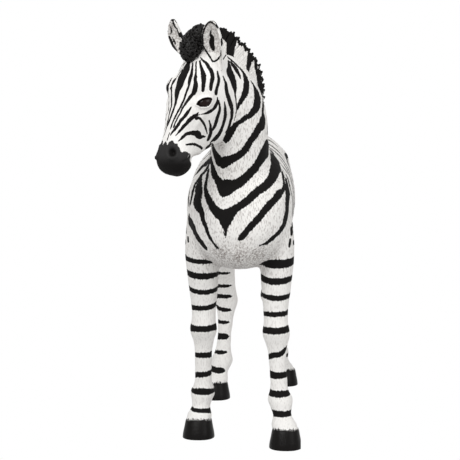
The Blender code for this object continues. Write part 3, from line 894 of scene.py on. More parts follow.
# strokes of the face as seen in the photograph: x, y and width, in its pixels
faceStrokes = [
    [(187.5, 62.8, 0.8), (182.4, 69.2, 1.2), (177.4, 76.5, 1.3), (173, 83.5, 1.3), (170.6, 88.5, 1)],
    [(189.2, 64.5, 0.8), (185, 72, 1.2), (180.6, 80, 1.2), (176.8, 88, 0.9)],
    [(183, 60, 1.3), (175, 69.7), (171, 75, 1), (167.2, 81.5, 0.7)],
    [(185, 62.5, 1.2), (181, 66.5), (175, 74), (171.5, 78.7), (169, 83.5, 1.3), (167.5, 86.5, 2.5),
     (168, 91.5, 1.3), (168.7, 95), (169, 100, 1.2), (168.8, 105), (168.5, 110), (167.5, 113, 0.8),
     (166, 117.5),
     (165.5, 124), (164.5, 128.5), (162.5, 132), (161.2, 136.5)],
    [(184.5, 63.5, 1.3), (180, 71.5), (177, 77), (173.5, 81), (171.7, 86), (171.5, 92.5), (171.5, 105),
     (170.2, 110), (169, 115, 1.2), (168.5, 118), (167.5, 121.5), (165.5, 127, 1), (164, 131.5), (163.2, 137)],
    [(165, 118, 0.6), (163.5, 123), (161, 130.5)],
    [(188.5, 63, 2.5), (185.6, 70, 5.5), (182.7, 75, 6.5), (181, 80, 6.5), (179.5, 85, 6), (177.5, 90, 5),
     (176.8, 95, 4), (176, 100, 2.5), (175, 105, 2), (173.3, 110, 1.8), (172, 113.5), (170, 119, 1.5),
     (168.5, 122.5), (167, 126.5, 1.2), (165.5, 131), (164.5, 135)],
    [(192.7, 63, 1.5), (192, 70, 2.2), (191.2, 75, 3), (189.8, 80, 2.6), (189, 85, 2.2), (187.2, 90),
     (185.5, 95, 2), (183.7, 100, 1.9), (181.5, 105, 2), (178.8, 110), (177.5, 112.5, 1.8), (175.5, 116.5),
     (173, 121.5, 1.3), (171.5, 126), (170.5, 129, 0.8)],
    [(196.1, 62, 1.6), (196, 70, 1.5), (195.6, 75, 2.2), (195.2, 80, 3), (195.6, 85, 4.7), (194.7, 90, 4.8),
     (193.5, 93, 4), (191.7, 95, 3.5), (188, 100, 3), (184.6, 105, 2), (181.5, 110), (180.5, 113, 1.5),
     (178, 117), (175.5, 122.5, 1.2), (173.5, 127.5)],
    [(199.6, 61, 1.8), (200.6, 65, 2.6), (202, 70, 3.5), (203.5, 75, 5), (203.7, 80, 4.5), (203.5, 85, 3.7),
     (203, 90, 3.5)],
    [(200.5, 57.5, 1.2), (203, 60.5, 2), (206.5, 63.5, 3.2), (209, 67.5, 3.5), (211.5, 71.5, 3.7),
     (212.5, 76, 4), (212.2, 80), (211.2, 85, 3.7), (210.7, 89.5, 2.8)],
    [(217.7, 72, 1.6), (218.2, 76, 2.3), (219, 79, 2.5), (218.5, 82.5, 2.8), (217.5, 86), (216.5, 89.5, 3),
     (216, 93, 3.2)],
    [(223.2, 76.5, 1), (224.5, 80, 1.6), (226, 84, 2.5), (226.2, 88, 3.2), (227.2, 93.5, 3.7), (229, 99, 3.6),
     (230.5, 103.5, 3.3), (231.7, 108, 2.8), (231.7, 115), (231.5, 118, 2.5), (230.5, 121), (229.5, 125, 2.3),
     (228, 129), (226.5, 132, 2)],
    [(228.5, 61.5, 2), (230, 70, 4), (229.5, 72, 6), (230.7, 75, 6), (232.5, 80, 5.5), (234, 85, 5),
     (234.8, 90, 2.8), (235.2, 95, 1.7), (236, 100, 1.3), (236.4, 105), (236.7, 110, 1.4), (235.7, 115, 0.8),
     (234.5, 120, 0.6), (232.5, 124.5, 0.5)],
    [(229.5, 61.5, 1.5), (232, 64, 2.5), (235, 67.5, 3.5), (237.5, 72, 3), (239.5, 75.5, 2), (240.5, 78.5, 1)],
    [(191, 107.5, 1.5), (189, 110.5, 2.8), (186.5, 114, 3.3), (183.5, 117.5, 3.2), (180.5, 121, 3),
     (178, 125), (175.5, 128.5, 2.8), (172.5, 132, 2), (170.5, 135, 1.2)],
    [(198.5, 112.5, 1), (196.5, 115, 3.2), (193.5, 117, 4), (190, 119.5), (187, 123, 3.5), (184, 126, 3.3),
     (180.5, 130, 2.5), (178, 133, 1.7), (175.7, 136, 1)],
    [(196.5, 118.5, 3), (199.5, 118.2, 2.5), (202, 121), (204, 124, 2.3), (205.5, 127.5, 2), (206.5, 131, 1.5),
     (207.2, 133.7, 1)],
    [(217.2, 97.5, 1.2), (217.5, 100, 1.8), (217.2, 102.5, 2.6), (216, 105.5, 3.4), (213.5, 109, 3),
     (210, 111.5, 2.8), (206, 113.2, 2), (202, 114.2, 1.2), (197.5, 114.5, 0.8)],
    [(218.7, 101, 1.5), (219.5, 105, 2), (219.7, 110, 2.2), (218.7, 113.5, 3), (217.2, 118, 3.2), (216, 122.5),
     (214.2, 127, 3), (212.5, 130, 2)],
    [(209, 120.5, 1.2), (210.2, 124, 1.8), (210.5, 128, 2.5), (210.7, 132.5, 3), (209.7, 136, 3.2),
     (208.5, 139.2, 2.8)],
    [(224.5, 102.2, 1), (225, 106.5, 2), (225.2, 110, 2.4), (225.2, 116, 2.8), (224, 121.5), (222.5, 126.5),
     (221, 130.5, 3), (218.5, 135, 3.5), (215.5, 138.5), (212.5, 140.5, 2), (210.5, 142.5, 0.8)],
    [(178.5, 141, 1), (181, 139, 2.3), (184, 136, 3), (187.5, 133.7, 3.2), (191.5, 133, 4.2), (195, 133, 5.2),
     (197.5, 134, 6.8), (200, 137, 4.5), (203, 136.7, 2.5), (205.2, 136.7, 1.2)],
    [(186.2, 144.7, 1.5), (190, 144.2, 2.3), (194, 144.2, 2.7), (198, 145.7, 2.5), (201, 147.5),
     (202.2, 148.7, 2)],
    [(169.5, 133, 0.9), (167.2, 140)],
]
# the neck, breast and shoulders
neckStrokes = [
    [(228, 57.5, 1.2), (232.5, 61), (237.8, 66.4, 1.3), (242.2, 71, 1.8), (245, 76, 3), (246.5, 82, 4.5),
     (246, 90, 5.5), (244, 96, 5), (241, 101, 4), (238.5, 106, 2.5), (237.8, 109.5, 1)],
    [(251, 81, 0.7), (254, 86, 1.5), (257, 94, 4), (258, 100, 5.5), (256.5, 107, 6), (253, 112, 5.5),
     (250, 115.6, 5), (245.6, 117.5, 4.5), (241.2, 121.2, 4.2), (236.2, 124.4, 4.3), (233.1, 128.7, 5.5),
     (229.4, 133.1, 6), (226.2, 138.7, 5), (226, 141.9, 3)],
    [(262.5, 110.6, 1), (263.4, 117.5, 3), (262.5, 123.7, 5.5), (258.7, 128.7, 6), (255, 135, 6),
     (250.6, 140.6, 5.5), (248.1, 145.6, 5.8), (245, 150, 6), (240, 154.4, 6.5), (235, 157.5, 7), (230, 160, 8),
     (225, 161.9, 9.5), (223, 165, 6), (222.5, 168.7, 1)],
    [(225, 161.9, 9), (220, 162, 8), (217.5, 158.1, 6), (215, 153.7, 4), (213.1, 148.7, 2.2),
     (212.2, 143.7, 1)],
    [(268.4, 132, 1), (269.4, 140, 1.5), (268.1, 146.2, 4), (264.4, 152.5, 6), (261.9, 157.5, 6.5),
     (258.1, 163.1, 6.5), (254.4, 168.7, 7), (248.7, 174.4, 7.5), (243.7, 179.4, 8), (237.5, 183.7, 9),
     (231.2, 186.2, 10.5), (225.6, 188.1, 14), (221.9, 197, 1)],
    [(225.6, 188.1, 12), (220, 183, 8), (216.9, 178.7, 6), (213.7, 173.1, 5), (212.5, 167.5, 3.2),
     (211.2, 161.2, 2), (210.6, 157.5, 1)],
    [(271.9, 150, 1), (273.1, 152.5, 1.5), (274.4, 158.7, 4), (275.6, 165, 6), (274.4, 171.2, 7),
     (272.5, 176.9, 7.5), (268.7, 182.5, 8), (263.1, 187.5, 7.5), (256.2, 192.5, 7), (249.4, 199),
     (242.5, 204.4), (236.2, 208.1), (231.2, 212.5, 9), (226.2, 217.5, 13), (225, 225, 6.5), (225.3, 230, 3.5),
     (225.6, 237.5, 1.5)],
    [(226.2, 217.5, 12), (220, 214.4, 10), (215, 210, 8), (211.2, 204.4, 6.5), (208.1, 198.1, 5),
     (206.2, 192.5, 4), (205.3, 187.5, 2.8), (206.9, 178.7, 2.5), (207.8, 173.1, 2), (208.1, 170.6, 1.5)],
    [(281.9, 169.4, 0.8), (282.8, 173.1, 1.3), (283.4, 178.7, 1.6), (284, 185.6), (283.1, 190, 3),
     (279.4, 193.7, 6), (275, 199.4), (270, 204.4, 6.5), (265.6, 209.4), (261.2, 215, 6), (256.2, 220.6),
     (251.2, 226.2), (246.2, 231.9, 5.5), (241.9, 236.9), (239, 240, 2)],
    [(283.1, 170, 1), (286.2, 176.9, 1.5), (286.9, 182.5, 3), (287.8, 192.5, 3.5), (287.2, 203.7, 3.2),
     (286.9, 212.5, 3), (285.6, 218.7, 3.5), (283.7, 225, 3), (280.6, 230), (276.2, 235), (270.6, 240, 3.2),
     (266.2, 243.1, 2.5), (260, 245.3, 1.2)],
    [(277.5, 159.4, 1), (280, 163.1, 1.5), (285, 169.4, 2), (288.7, 175), (292.5, 183.1, 1.8),
     (292.8, 193.7, 2.2), (293.7, 201.2, 1.8), (293.4, 211.9, 0.8)],
    [(268.1, 131.9, 1), (272.5, 136.2, 2), (276.2, 142.5, 2.5), (279.4, 150, 2.2), (281.9, 155.6, 1.8),
     (283.7, 159.4, 1)],
    [(279.4, 140.6, 0.8), (282.5, 146.2, 1.5), (284.4, 151.2, 1.3), (285.6, 158.1, 1)],
    [(270.6, 146.2, 0.8), (275.6, 153.1, 1.2), (280, 158.1, 1), (284.4, 161.9, 0.8)],
    [(288.7, 160, 1), (288.4, 167.5, 1.2)],
    [(292.5, 225, 2.2), (291.6, 232.5)],
    [(290.3, 240.6, 2.2), (289.4, 245.6)],
    [(208.1, 167.5, 1), (205, 171.9, 1.3), (201.2, 175.6, 2), (199.4, 182.5, 3.5), (198.1, 188.1, 5.5),
     (198.7, 191.2), (196.9, 200, 6.5), (198.1, 206.2, 6), (201.9, 212.5, 4.5), (203.1, 220, 3.7),
     (205.6, 226.2, 3.3), (208.1, 233.7, 2.8), (211.2, 240, 2.3), (217.5, 248.1, 2)],
    [(189.4, 215.6, 1), (188.9, 220, 2), (191.9, 225, 3), (194.4, 231.2, 3.2), (197.5, 237.5), (201.2, 242.5),
     (205, 247.5, 3)],
    [(210, 160.6, 2), (206.2, 163.1), (201.9, 166.9, 1.8), (197.5, 171.9), (193.1, 178.1, 1.7),
     (190.6, 185.6, 1.5), (189.4, 192), (188.5, 198, 1.3), (189, 205, 0.8)],
    [(208.7, 165, 1), (203.7, 172.5, 1.2), (199.4, 178.1, 1.3), (195, 184.5, 1.5), (193, 191, 2),
     (191.5, 198, 1.6), (190.3, 204, 1)],
    [(210.5, 144.5, 1.5), (207.5, 147.5, 1.8), (204.5, 153, 1.2), (201, 158, 1), (199.5, 163, 0.8)],
    [(210.5, 153, 1.5), (207.5, 155.5, 2), (202.5, 160.5, 1.6), (199.5, 165, 1.3), (196.5, 169.5, 1)],
    [(195, 157.5, 1.8), (194, 161.5, 2), (194.2, 167.5, 1.5), (194.5, 172, 1)],
    [(191.5, 169, 1), (191.5, 175, 1.5), (192, 177.5, 1)],
    [(200, 154, 1.2), (199.5, 157, 1)],
    [(188, 238, 1.5), (188, 241)],
]
# rings of each leg as seen in the photograph: left edge, middle, right edge as x, y, width;
# a width below zero ends the ring short of that edge
legRings = {
    "frontRight": [
        [(186.7, 258.3, 5), (200, 261.7, 4.5), (211.7, 263, 3)],
        [(186.7, 273.3, 6), (198.3, 276.3, 6), (214, 274.7, 4)],
        [(188.3, 289.2, 5), (201.7, 292.5, 4.5), (216.7, 289.7, 4.5)],
        [(190.8, 308.3, 5), (203.3, 308.3, 4.5), (213.3, 305, 5)],
        [(190, 329.2, 7), (201.7, 329.2, 5.5), (213.3, 328, 6)],
        [(193.3, 355.8, 4), (202, 355.4, 5), (210.8, 354.7, 6)],
        [(193.3, 375.8, 5), (201, 374.5, 5), (208.3, 372.5, 5)],
        [(190.5, 391.7, 3.5), (200.8, 391.7, 6), (210.3, 392, 4)],
        [(190.5, 409.5, 3), (199, 410.8, 4), (207.5, 411.7, 5)],
    ],
    "frontLeft": [
        [(261.7, 261.7, 7), (276.7, 264.2, 8), (290.8, 262, 7)],
        [(260.8, 278.3, 6), (276.7, 281.7, 6), (290, 279, 5)],
        [(260.8, 295.8, 4), (276.7, 298.3, 5), (287.5, 296.7, 4.5)],
        [(263.3, 314.7, 4), (275, 314.5, 4.5), (285.8, 313.3, 5)],
        [(265, 331.3, 6), (276, 331.2, 6), (287.5, 329.7, 6)],
        [(269.2, 358.3, 5), (278.3, 355, 5), (288, 348.3, 4)],
        [(270, 375, 7), (279, 375.5, 6), (287.5, 375, 5)],
        [(271.7, 393.8, 6), (282, 394.2, 6), (291.7, 393.8, 5)],
        [(271.7, 413.7, 6), (282, 414.5, 5.5), (292.5, 413.7, 5)],
    ],
    "hindRight": [
        [(219, 274, 3), (221, 273.2, 3), (223, 272.5, -5)],
        [(218.3, 286.7, 4), (223, 286, 3.7), (228.3, 285, -5)],
        [(215.8, 296.3, 4.5), (222, 296.3, 4), (228.3, 295.8, -5)],
        [(213.3, 306.7, 4), (219, 309.5, 3.7), (224.2, 311.3, -5)],
        [(215.8, 321.7, 3.5), (220, 322, 3.2), (225, 322, -5)],
        [(215, 336.7, 6), (222, 336.5, 5.5), (229.2, 335.8, -5)],
        [(213.3, 352.5, 3), (220, 352.2, 3.5), (227.5, 351.7, -5)],
        [(210.8, 369.2, 5), (218, 370.5, 5.5), (225.8, 370.8, -5)],
    ],
}


# mane
maneLook = {
    # heights at shares of the way from the poll to the withers
    "height": ((0.0, 0.12, 0.3, 0.5, 0.8, 1.0), (38.0, 54.0, 53.0, 41.0, 29.0, 13.0)),
    "strands": 84,
    "clump": 3,  # strands that lean together
    "rows": (-7.0, -2.5, 2.5, 7.0),  # places across the crest
    "strandHalf": (4.4, 3.0),
    "coreHalf": 8.5,
    "blackTip": 0.78,
    "uneven": 0.07,  # how much shorter the outer strands of a lock are
    # black bands as seen in the photograph: x, y, width in its pixels
    "seenBands": [
        [(214, 30, 12), (222, 33, 10), (231, 38, 12), (230.5, 47, 9), (230, 62, 7)],
        [(251, 50, 5.5), (249.5, 60, 5.5), (247, 76, 2.5)],
        [(255.5, 65, 3), (258.5, 76, 4.5), (260, 86, 4), (262, 96, 3)],
    ],
    "seenWhite": [(223.5, 41, 3), (224.3, 47, 4.5), (224, 60, 4)],  # behind the left ear
    "bandHalf": 0.03,  # half a band further back, as a share of the way to the withers
    # where the neck's bands pass out of sight in the photograph
    "neckRear": [(262.5, 111.5), (268.4, 133), (271.9, 151), (279, 163)],
    "upward": 6,
    "bandWidths": ((0, 0.3, 1), (3.0, 6.5, 6.0)),  # half widths at shares of the way to the crest
    "bandBulge": 30,
    "evened": 10,  # places on either side that even out the crest line
    "lean": 0.45,  # how far the outer strands lean to the middle of their lock
    "thick": ((-0.2, 1.0), (0.15, 1.0), (0.4, 1.0), (0.6, 1.0), (0.78, 0.95), (0.9, 0.82), (1.0, 0.5)),
    "narrowing": (0.85, 1.0),  # shares of the way where the mane thins out to the withers
    "strandSides": 7,
}


def maneLine():
    middle, side, crest, sizes = neckFrames()
    line = middle + crest * (sizes[:, 1] - 8.0)[:, None]
    left, along, brow = headAxes()
    line = np.vstack([headPoint(0, -12, 22), headPoint(0, -20, 2), line[::-1][6:-3]])
    out = np.vstack([-along + 0.5 * brow, -along, crest[::-1][6:-3]])
    across = np.vstack([left, left, side[::-1][6:-3]])
    length = runLength(line)
    rows = columnsAt(np.linspace(0, length[-1], 200), length, np.hstack([line, out, across]))
    spread = maneLook["evened"]
    padded = np.pad(rows, ((spread, spread), (0, 0)), "edge")
    kernel = np.ones(2 * spread + 1) / (2 * spread + 1)
    rows = np.stack([np.convolve(column, kernel, "valid") for column in padded.T], axis=1)
    line, out, across = rows[:, :3], rows[:, 3:6], rows[:, 6:]
    out = unit(out)
    across -= out * (across * out).sum(1)[:, None]
    across = unit(across)
    return line, out, across, length[-1]


def neckAxisAt(points):
    # nearest ring of the neck: its middle and sideways direction
    middle, side = neckFrames()[:2]
    near = np.argmin(((points[:, None, :] - middle[None]) ** 2).sum(2), axis=1)
    return middle[near], side[near]


def snapTo(points, tree):
    spots = np.array([tree.find_nearest(Vector(p))[0] for p in points])
    normals = np.array([tree.find_nearest(Vector(p))[1] for p in points])
    return spots, normals


def bandsToCrest(tree):
    # each band the photograph loses at the neck's edge runs on, up and back, to the mane
    line = maneLine()[0]
    made, shares = [], []
    for x, y in maneLook["neckRear"]:
        inward = castFrom(*photoRays([(x - step, y) for step in range(9)]), tree)
        start = inward[~np.isnan(inward[:, 0])][0]
        k = max(int(np.argmin(np.linalg.norm(line - start, axis=1))) - maneLook["upward"], 0)
        t = np.linspace(0, 1, 70)
        path = start + np.outer(t, line[k] - start)
        path += neckAxisAt(path)[1] * (maneLook["bandBulge"] * np.sin(math.pi * t))[:, None]
        spots = snapTo(path, tree)[0]
        made.append(np.hstack([spots, np.interp(t, *maneLook["bandWidths"])[:, None]]))
        shares.append(k / (len(line) - 1))
    return np.vstack(made), shares


def bandDistance(share, length):
    # how far along the crest, in millimetres, a place lies outside the nearest black band; negative inside
    best = np.full(np.shape(share), 1e3)
    for middle in crestShares:
        best = np.minimum(best, (np.abs(share - middle) - maneLook["bandHalf"]) * length)
    return best


def addMane():
    line, out, across, length = maneLine()
    random = np.random.default_rng(11)
    share = np.linspace(0, 1, len(line))

    def at(s):
        k = np.clip(s, 0, 1) * (len(line) - 1)
        low = int(min(k, len(line) - 2))
        t = k - low
        return [(1 - t) * v[low] + t * v[low + 1] for v in (line, out, across)]

    # a solid core under the strands, thinner upwards and towards both ends
    rings = []
    levels = np.linspace(-0.25, 0.78, 8)
    stations = np.linspace(0.0, 1.0, 90)
    upward = 1 - 0.55 * np.clip(levels, 0, 1) ** 1.5
    for s in stations:
        spot, up, side = at(s)
        height = np.interp(s, *maneLook["height"])
        atPoll = 0.45 + 0.55 * math.sin(math.pi * min(1, max(0.08, s * 3)) / 2)
        half = maneLook["coreHalf"] * upward * atPoll * (1 - 0.55 * ramp(np.array(s), *maneLook["narrowing"]))
        leftWall = spot + levels[:, None] * height * up + half[:, None] * side
        rightWall = spot + levels[::-1, None] * height * up - half[::-1, None] * side
        rings.append(np.vstack([leftWall, rightWall]))
    lofts = [rings]
    marks = [(np.repeat(stations, 16), np.tile(np.concatenate([levels, levels[::-1]]), 90))]
    count, sides = maneLook["strands"], maneLook["strandSides"]
    long, wide = maneLook["strandHalf"]
    steps, thick = np.array(maneLook["thick"]).T
    for k in range(count):
        clump = (k // maneLook["clump"] + 0.5) * maneLook["clump"]
        for j, offset in enumerate(maneLook["rows"]):
            s = (k + 0.5 + 0.5 * (j % 2)) / count + random.normal(0, 0.0015)
            spot, up, side = at(s)
            lengthways = np.cross(up, side)
            if lengthways @ (line[-1] - line[0]) < 0:
                lengthways = -lengthways
            height = np.interp(s, *maneLook["height"]) * random.uniform(0.95, 1.04)
            height *= 1.0 - maneLook["uneven"] * abs(clump - k - 0.5)
            lean = (clump - k - 0.5) * length / count * maneLook["lean"] + random.normal(0, 0.8)
            spread = offset / 7.0 * (1.5 + random.uniform(-1.5, 1.5)) - offset * 0.35
            narrow = 1 - 0.5 * ramp(np.array(s), *maneLook["narrowing"])
            rings = []
            for t, thickness in zip(steps, thick):
                bend = max(t, 0.0) ** 1.7
                middle = spot + side * (offset * narrow + spread * bend) + up * t * height
                middle += lengthways * lean * bend
                c, z = outline(long * thickness, wide * thickness, wide * thickness, points=sides)
                rings.append(section(middle, c, lengthways, z, side))
            lofts.append(rings)
            marks.append((np.full(len(steps) * sides, s), np.repeat(steps, sides)))
    mane = addLofts("mane", lofts)
    share = np.concatenate([m[0] for m in marks])
    level = np.concatenate([m[1] for m in marks])
    height = np.interp(share, *maneLook["height"])
    spots = toPhoto(readPoints(mane))
    pixel = photoCamera["millimetresPerPixel"]
    black = np.minimum(bandDistance(share, length), (maneLook["blackTip"] - level) * height)
    for band in maneLook["seenBands"]:
        black = np.minimum(black, strokeDistance(spots, band) * pixel)
    black = np.maximum(black, -strokeDistance(spots, maneLook["seenWhite"]) * pixel)
    writeAttribute(mane, "stripe", black)
    writeAttribute(mane, "level", level)
    return mane


def strokeDistance(spots, rows):
    # signed distance in pixels to a stroke of changing width
    best = np.full(len(spots), 1e3)
    for x, y, width in alongStroke(rows, sampleSpacing["mane"]):
        best = np.minimum(best, np.hypot(spots[:, 0] - x, spots[:, 1] - y) - width / 2)
    return best


# forelock: a ball of curls between the ears
forelockLook = {
    # middle in the head's frame, radii, number of curls
    "lobes": [((2.0, 2.0, 48.0), (24.0, 37.0, 26.0), 110), ((17.0, -24.0, 50.0), (19.0, 20.0, 20.0), 50)],
    "curlRadius": 7.0,
    "strandRadius": 2.9,
    "turns": 0.8,
    "sizes": (0.7, 1.2),
    "lift": (3.0, 7.5),
    "sink": 1.5,
    "closing": 0.7,  # how much a curl winds in
    "tapering": 0.6,
    "skinDepth": 5.0,
    "seed": 5,
}


def addCurl(middle, spot, outward, axes, random):
    first = np.cross(outward, [0.3, 0.2, 1.0])
    first = unit(first)
    second = np.cross(outward, first)
    start = random.uniform(0, 2 * math.pi)
    spin = random.choice([-1, 1])
    size = forelockLook["curlRadius"] * random.uniform(*forelockLook["sizes"])
    lift = random.uniform(*forelockLook["lift"])
    steps = np.linspace(0, 1, 13)
    phase = start + spin * 2 * math.pi * forelockLook["turns"] * steps
    coil = size * (1 - forelockLook["closing"] * steps)
    path = spot + np.outer(lift * steps - forelockLook["sink"], outward)
    path += (coil * np.cos(phase))[:, None] * first + (coil * np.sin(phase))[:, None] * second
    tangent = np.gradient(path, axis=0)
    tangent = unit(tangent)
    side = np.cross(tangent, outward)
    side = unit(side)
    above = np.cross(side, tangent)
    rings = []
    for i, t in enumerate(steps):
        radius = forelockLook["strandRadius"] * (1 - forelockLook["tapering"] * t**3)
        across, upward = outline(radius, radius, radius, points=7)
        rings.append(middle + section(path[i], across, side[i], upward, above[i]) @ axes)
    return rings


def addForelock():
    random = np.random.default_rng(forelockLook["seed"])
    axes = headAxes()
    shapes, lofts = [], []
    for spot, radii, count in forelockLook["lobes"]:
        inner = np.array(radii) - forelockLook["skinDepth"]
        middle = headPoint(*spot)
        shapes.append(addOval("forelock", middle, inner, axes))
        for k in range(count):
            # points spread evenly over a sphere by the golden angle
            level = 1 - 2 * (k + 0.5) / count
            turn = k * math.pi * (3 - math.sqrt(5))
            flat = math.sqrt(1 - level * level)
            direction = np.array([flat * math.cos(turn), level, flat * math.sin(turn)])
            outward = direction / inner
            outward = unit(outward)
            lofts.append(addCurl(middle, direction * inner, outward, axes, random))
    return joinShapes("forelock", [*shapes, addLofts("curls", lofts)])


# eyes
def addEyes():
    middle, front, rear = toHead(where)
    outward = unit(np.array(eyeLook["outward"]))
    lengthways = front - rear
    lengthways -= outward * (lengthways @ outward)
    lengthways = unit(lengthways)
    own = np.array([lengthways, np.cross(outward, lengthways), outward])
    ovals = []
    for sign in (1, -1):
        flip = np.array([sign, 1.0, 1.0])
        spot = (middle - outward * eyeLook["ballSink"]) * flip
        ovals.append(addOval("eye", headPoint(*spot), eyeLook["ball"], (own * flip) @ headAxes(), 36))
    return joinShapes("eyes", ovals)


print("hair and eyes")
figureTree = treeOf(*skinPieces)
crestSamples, crestShares = bandsToCrest(figureTree)
mane = addMane()
forelock = addForelock()
eyes = addEyes()


# stripes as distances on the skin
def onHiddenSide(points, samples, tree):
    # the samples' twins on the skin, kept where the photograph doesn't see them
    spots, normals = snapTo(points, tree)
    kept = (normals * unit(cameraFrame()[0] - spots)).sum(1) < grazing
    return np.hstack([spots, samples[:, 3:]])[kept]


def mirrorHead(samples, tree):
    own = toHead(samples[:, :3])
    own[:, 0] *= -1
    return onHiddenSide(stance["poll"] + own @ headAxes(), samples, tree)


def mirrorNeck(samples, tree):
    middle, side = neckAxisAt(samples[:, :3])
    other = samples[:, :3] - 2 * side * ((samples[:, :3] - middle) * side).sum(1)[:, None]
    return onHiddenSide(other, samples, tree)


def castRound(name, heights, angle, widths, tree):
    # from the middle line of a leg out to its skin; angle 0 faces forward
    axis = legRows(name)[::-1]
    x, y = (np.interp(heights, axis[:, 0], axis[:, k]) for k in (1, 2))
    start = asPoints(x, y, heights)
    spots = castFrom(start, asPoints(np.sin(angle), -np.cos(angle), 0.0), tree)
    reach = np.linalg.norm(spots - start, axis=1)
    good = reach < 1.5 * np.nanmedian(reach)  # not the trunk beyond the leg
    return np.hstack([spots, widths[:, None]])[good]


grazing = 0.08  # skin turned further from the camera than this counts as hidden
ringLook = {"wider": 1.15, "backRise": 4.0, "backWidth": 0.8}  # the back isn't in the photograph


def ringSamples(name, rows, tree):
    # a ring round a leg at the heights the photograph shows on its left, front and right
    line = np.array(rows, float)
    eye, rays = photoRays(line[:, :2])
    spots = castFrom(eye, rays, tree)
    if np.isnan(spots[1, 0]):
        return np.empty((0, 4))
    heights = spots[:, 2].copy()
    pixel = photoCamera["millimetresPerPixel"] * np.linalg.norm(spots[1] - eye) / photoCamera["distance"]
    for i in (0, 2):
        heights[i] = spots[1, 2] - (line[i, 1] - line[1, 1]) * pixel
    widths = line[:, 2] * 0.5 * ringLook["wider"] * pixel
    angle = np.linspace(-math.pi, math.pi, 120, endpoint=False)
    share = np.sin(angle)  # -1 at the photograph's left edge, 1 at its right
    front = np.cos(angle) > 0
    edge = np.where(share < 0, heights[0], heights[2])
    edgeWidth = np.where(share < 0, widths[0], widths[2])
    middle = np.where(front, heights[1], heights.mean() + ringLook["backRise"])
    middleWidth = np.where(front, widths[1], widths.mean() * ringLook["backWidth"])
    z = middle + (edge - middle) * share**2
    return castRound(name, z, angle, middleWidth + (edgeWidth - middleWidth) * share**2, tree)


def castDrawn(strokes, tree, wayIn):
    # drawn strokes cast onto both sides of the figure
    made = []
    for sign in (1, -1):
        for rows in strokes:
            line = alongStroke(rows, sampleSpacing["figure"])
            spots = castFrom(*wayIn(line, sign), tree)
            good = ~np.isnan(spots[:, 0])
            made.append(np.hstack([spots, line[:, 2:3] * 0.5])[good])
    return np.vstack(made)


def fromTheSide(line, sign):
    # strokes as y, z and width in millimetres
    return asPoints(sign * 400.0, line[:, 0], line[:, 1]), asPoints(-sign, 0.0, 0 * line[:, 0])


def fromTheMiddle(line, sign):
    # strokes round the barrel as y, twice the angle from the spine in degrees, width in millimetres
    turn = np.radians(line[:, 1] / 2.0)
    rows = smoothRows(trunkRows, 4)
    start = asPoints(0.0, line[:, 0], np.interp(line[:, 0], rows[:, 0], rows[:, 1]))
    return start, asPoints(sign * np.sin(turn), 0.0, np.cos(turn))


# stripes the photograph doesn't show
# round the barrel: y, angle from the spine in degrees, width
barrelBands = [
    [(-150, 8, 10), (-140, 30, 15), (-128, 55, 13), (-120, 80, 9), (-112, 100, 3)],
    [(-100, 6, 12), (-96, 25, 17), (-88, 50, 18), (-78, 80, 15), (-62, 110, 12), (-50, 135, 7), (-44, 150, 2)],
    [(-48, 6, 12), (-46, 25, 17), (-42, 50, 18), (-34, 80, 16), (-20, 112, 13), (-6, 138, 8), (0, 155, 2)],
    [(4, 6, 12), (5, 25, 16), (8, 50, 18), (15, 78, 17), (27, 108, 14), (40, 135, 9), (46, 152, 2)],
    [(54, 6, 12), (57, 25, 17), (63, 48, 18), (73, 72, 17), (84, 98, 14), (92, 122, 9), (98, 142, 2)],
    [(-74, 70, 2), (-68, 92, 6), (-56, 112, 5), (-46, 128, 1)],
    [(-16, 76, 2), (-8, 96, 6), (6, 120, 5), (14, 134, 1)],
    [(36, 78, 2), (44, 96, 6), (56, 116, 5), (66, 132, 1)],
    [(104, 5, 12), (107, 20, 15), (111, 34, 13), (114, 46, 3)],
    [(150, 5, 11), (155, 17, 13), (160, 27, 10), (165, 35, 2)],
    [(196, 5, 10), (202, 15, 12), (209, 23, 8), (215, 29, 2)],
    [(240, 5, 9), (247, 14, 10), (255, 22, 7), (262, 27, 2)],
    [(282, 5, 8), (290, 14, 9), (299, 22, 5), (306, 27, 2)],
    [(-120, 1, 7), (0, 1, 8), (150, 1, 8), (300, 1, 7), (340, 1, 5)],
]
# on the haunch, shoulder and forearm as seen from the side: y, z, width
haunchStripes = [
    [(128, 565, 3), (150, 590, 12), (190, 606, 15), (240, 606, 14), (290, 594, 12), (345, 580, 7)],
    [(108, 500, 2), (128, 530, 9), (165, 556, 15), (215, 566, 17), (270, 560, 15), (325, 548, 12),
     (362, 540, 7)],
    [(104, 450, 2), (122, 480, 8), (160, 508, 14), (215, 522, 17), (270, 520, 16), (325, 510, 13),
     (368, 503, 8)],
    [(118, 425, 2), (150, 452, 9), (200, 476, 15), (255, 480, 16), (310, 474, 14), (360, 468, 8)],
    [(138, 402, 2), (175, 422, 9), (220, 440, 14), (270, 442, 15), (320, 436, 12), (350, 432, 6)],
    [(168, 382, 2), (205, 398, 9), (250, 406, 13), (300, 400, 12), (342, 394, 6)],
    [(222, 360, 3), (240, 367, 9), (275, 370, 12), (320, 364, 9), (340, 360, 5)],
]
shoulderStripes = [
    [(-160, 640, 4), (-150, 600, 9), (-140, 560, 11), (-134, 520, 11), (-138, 480, 9), (-150, 450, 4)],
    [(-205, 660, 5), (-196, 620, 10), (-184, 580, 12), (-176, 545, 12), (-172, 515, 10), (-180, 486, 9),
     (-200, 462, 8),
     (-222, 446, 5)],
    [(-176, 512, 8), (-160, 480, 9), (-146, 450, 8), (-134, 425, 3)],
]
forearmBands = [
    [(-240, 428, 3), (-215, 436, 10), (-185, 434, 12), (-155, 422, 9), (-138, 412, 2)],
    [(-236, 396, 4), (-205, 400, 11), (-170, 396, 11), (-145, 386, 5)],
]
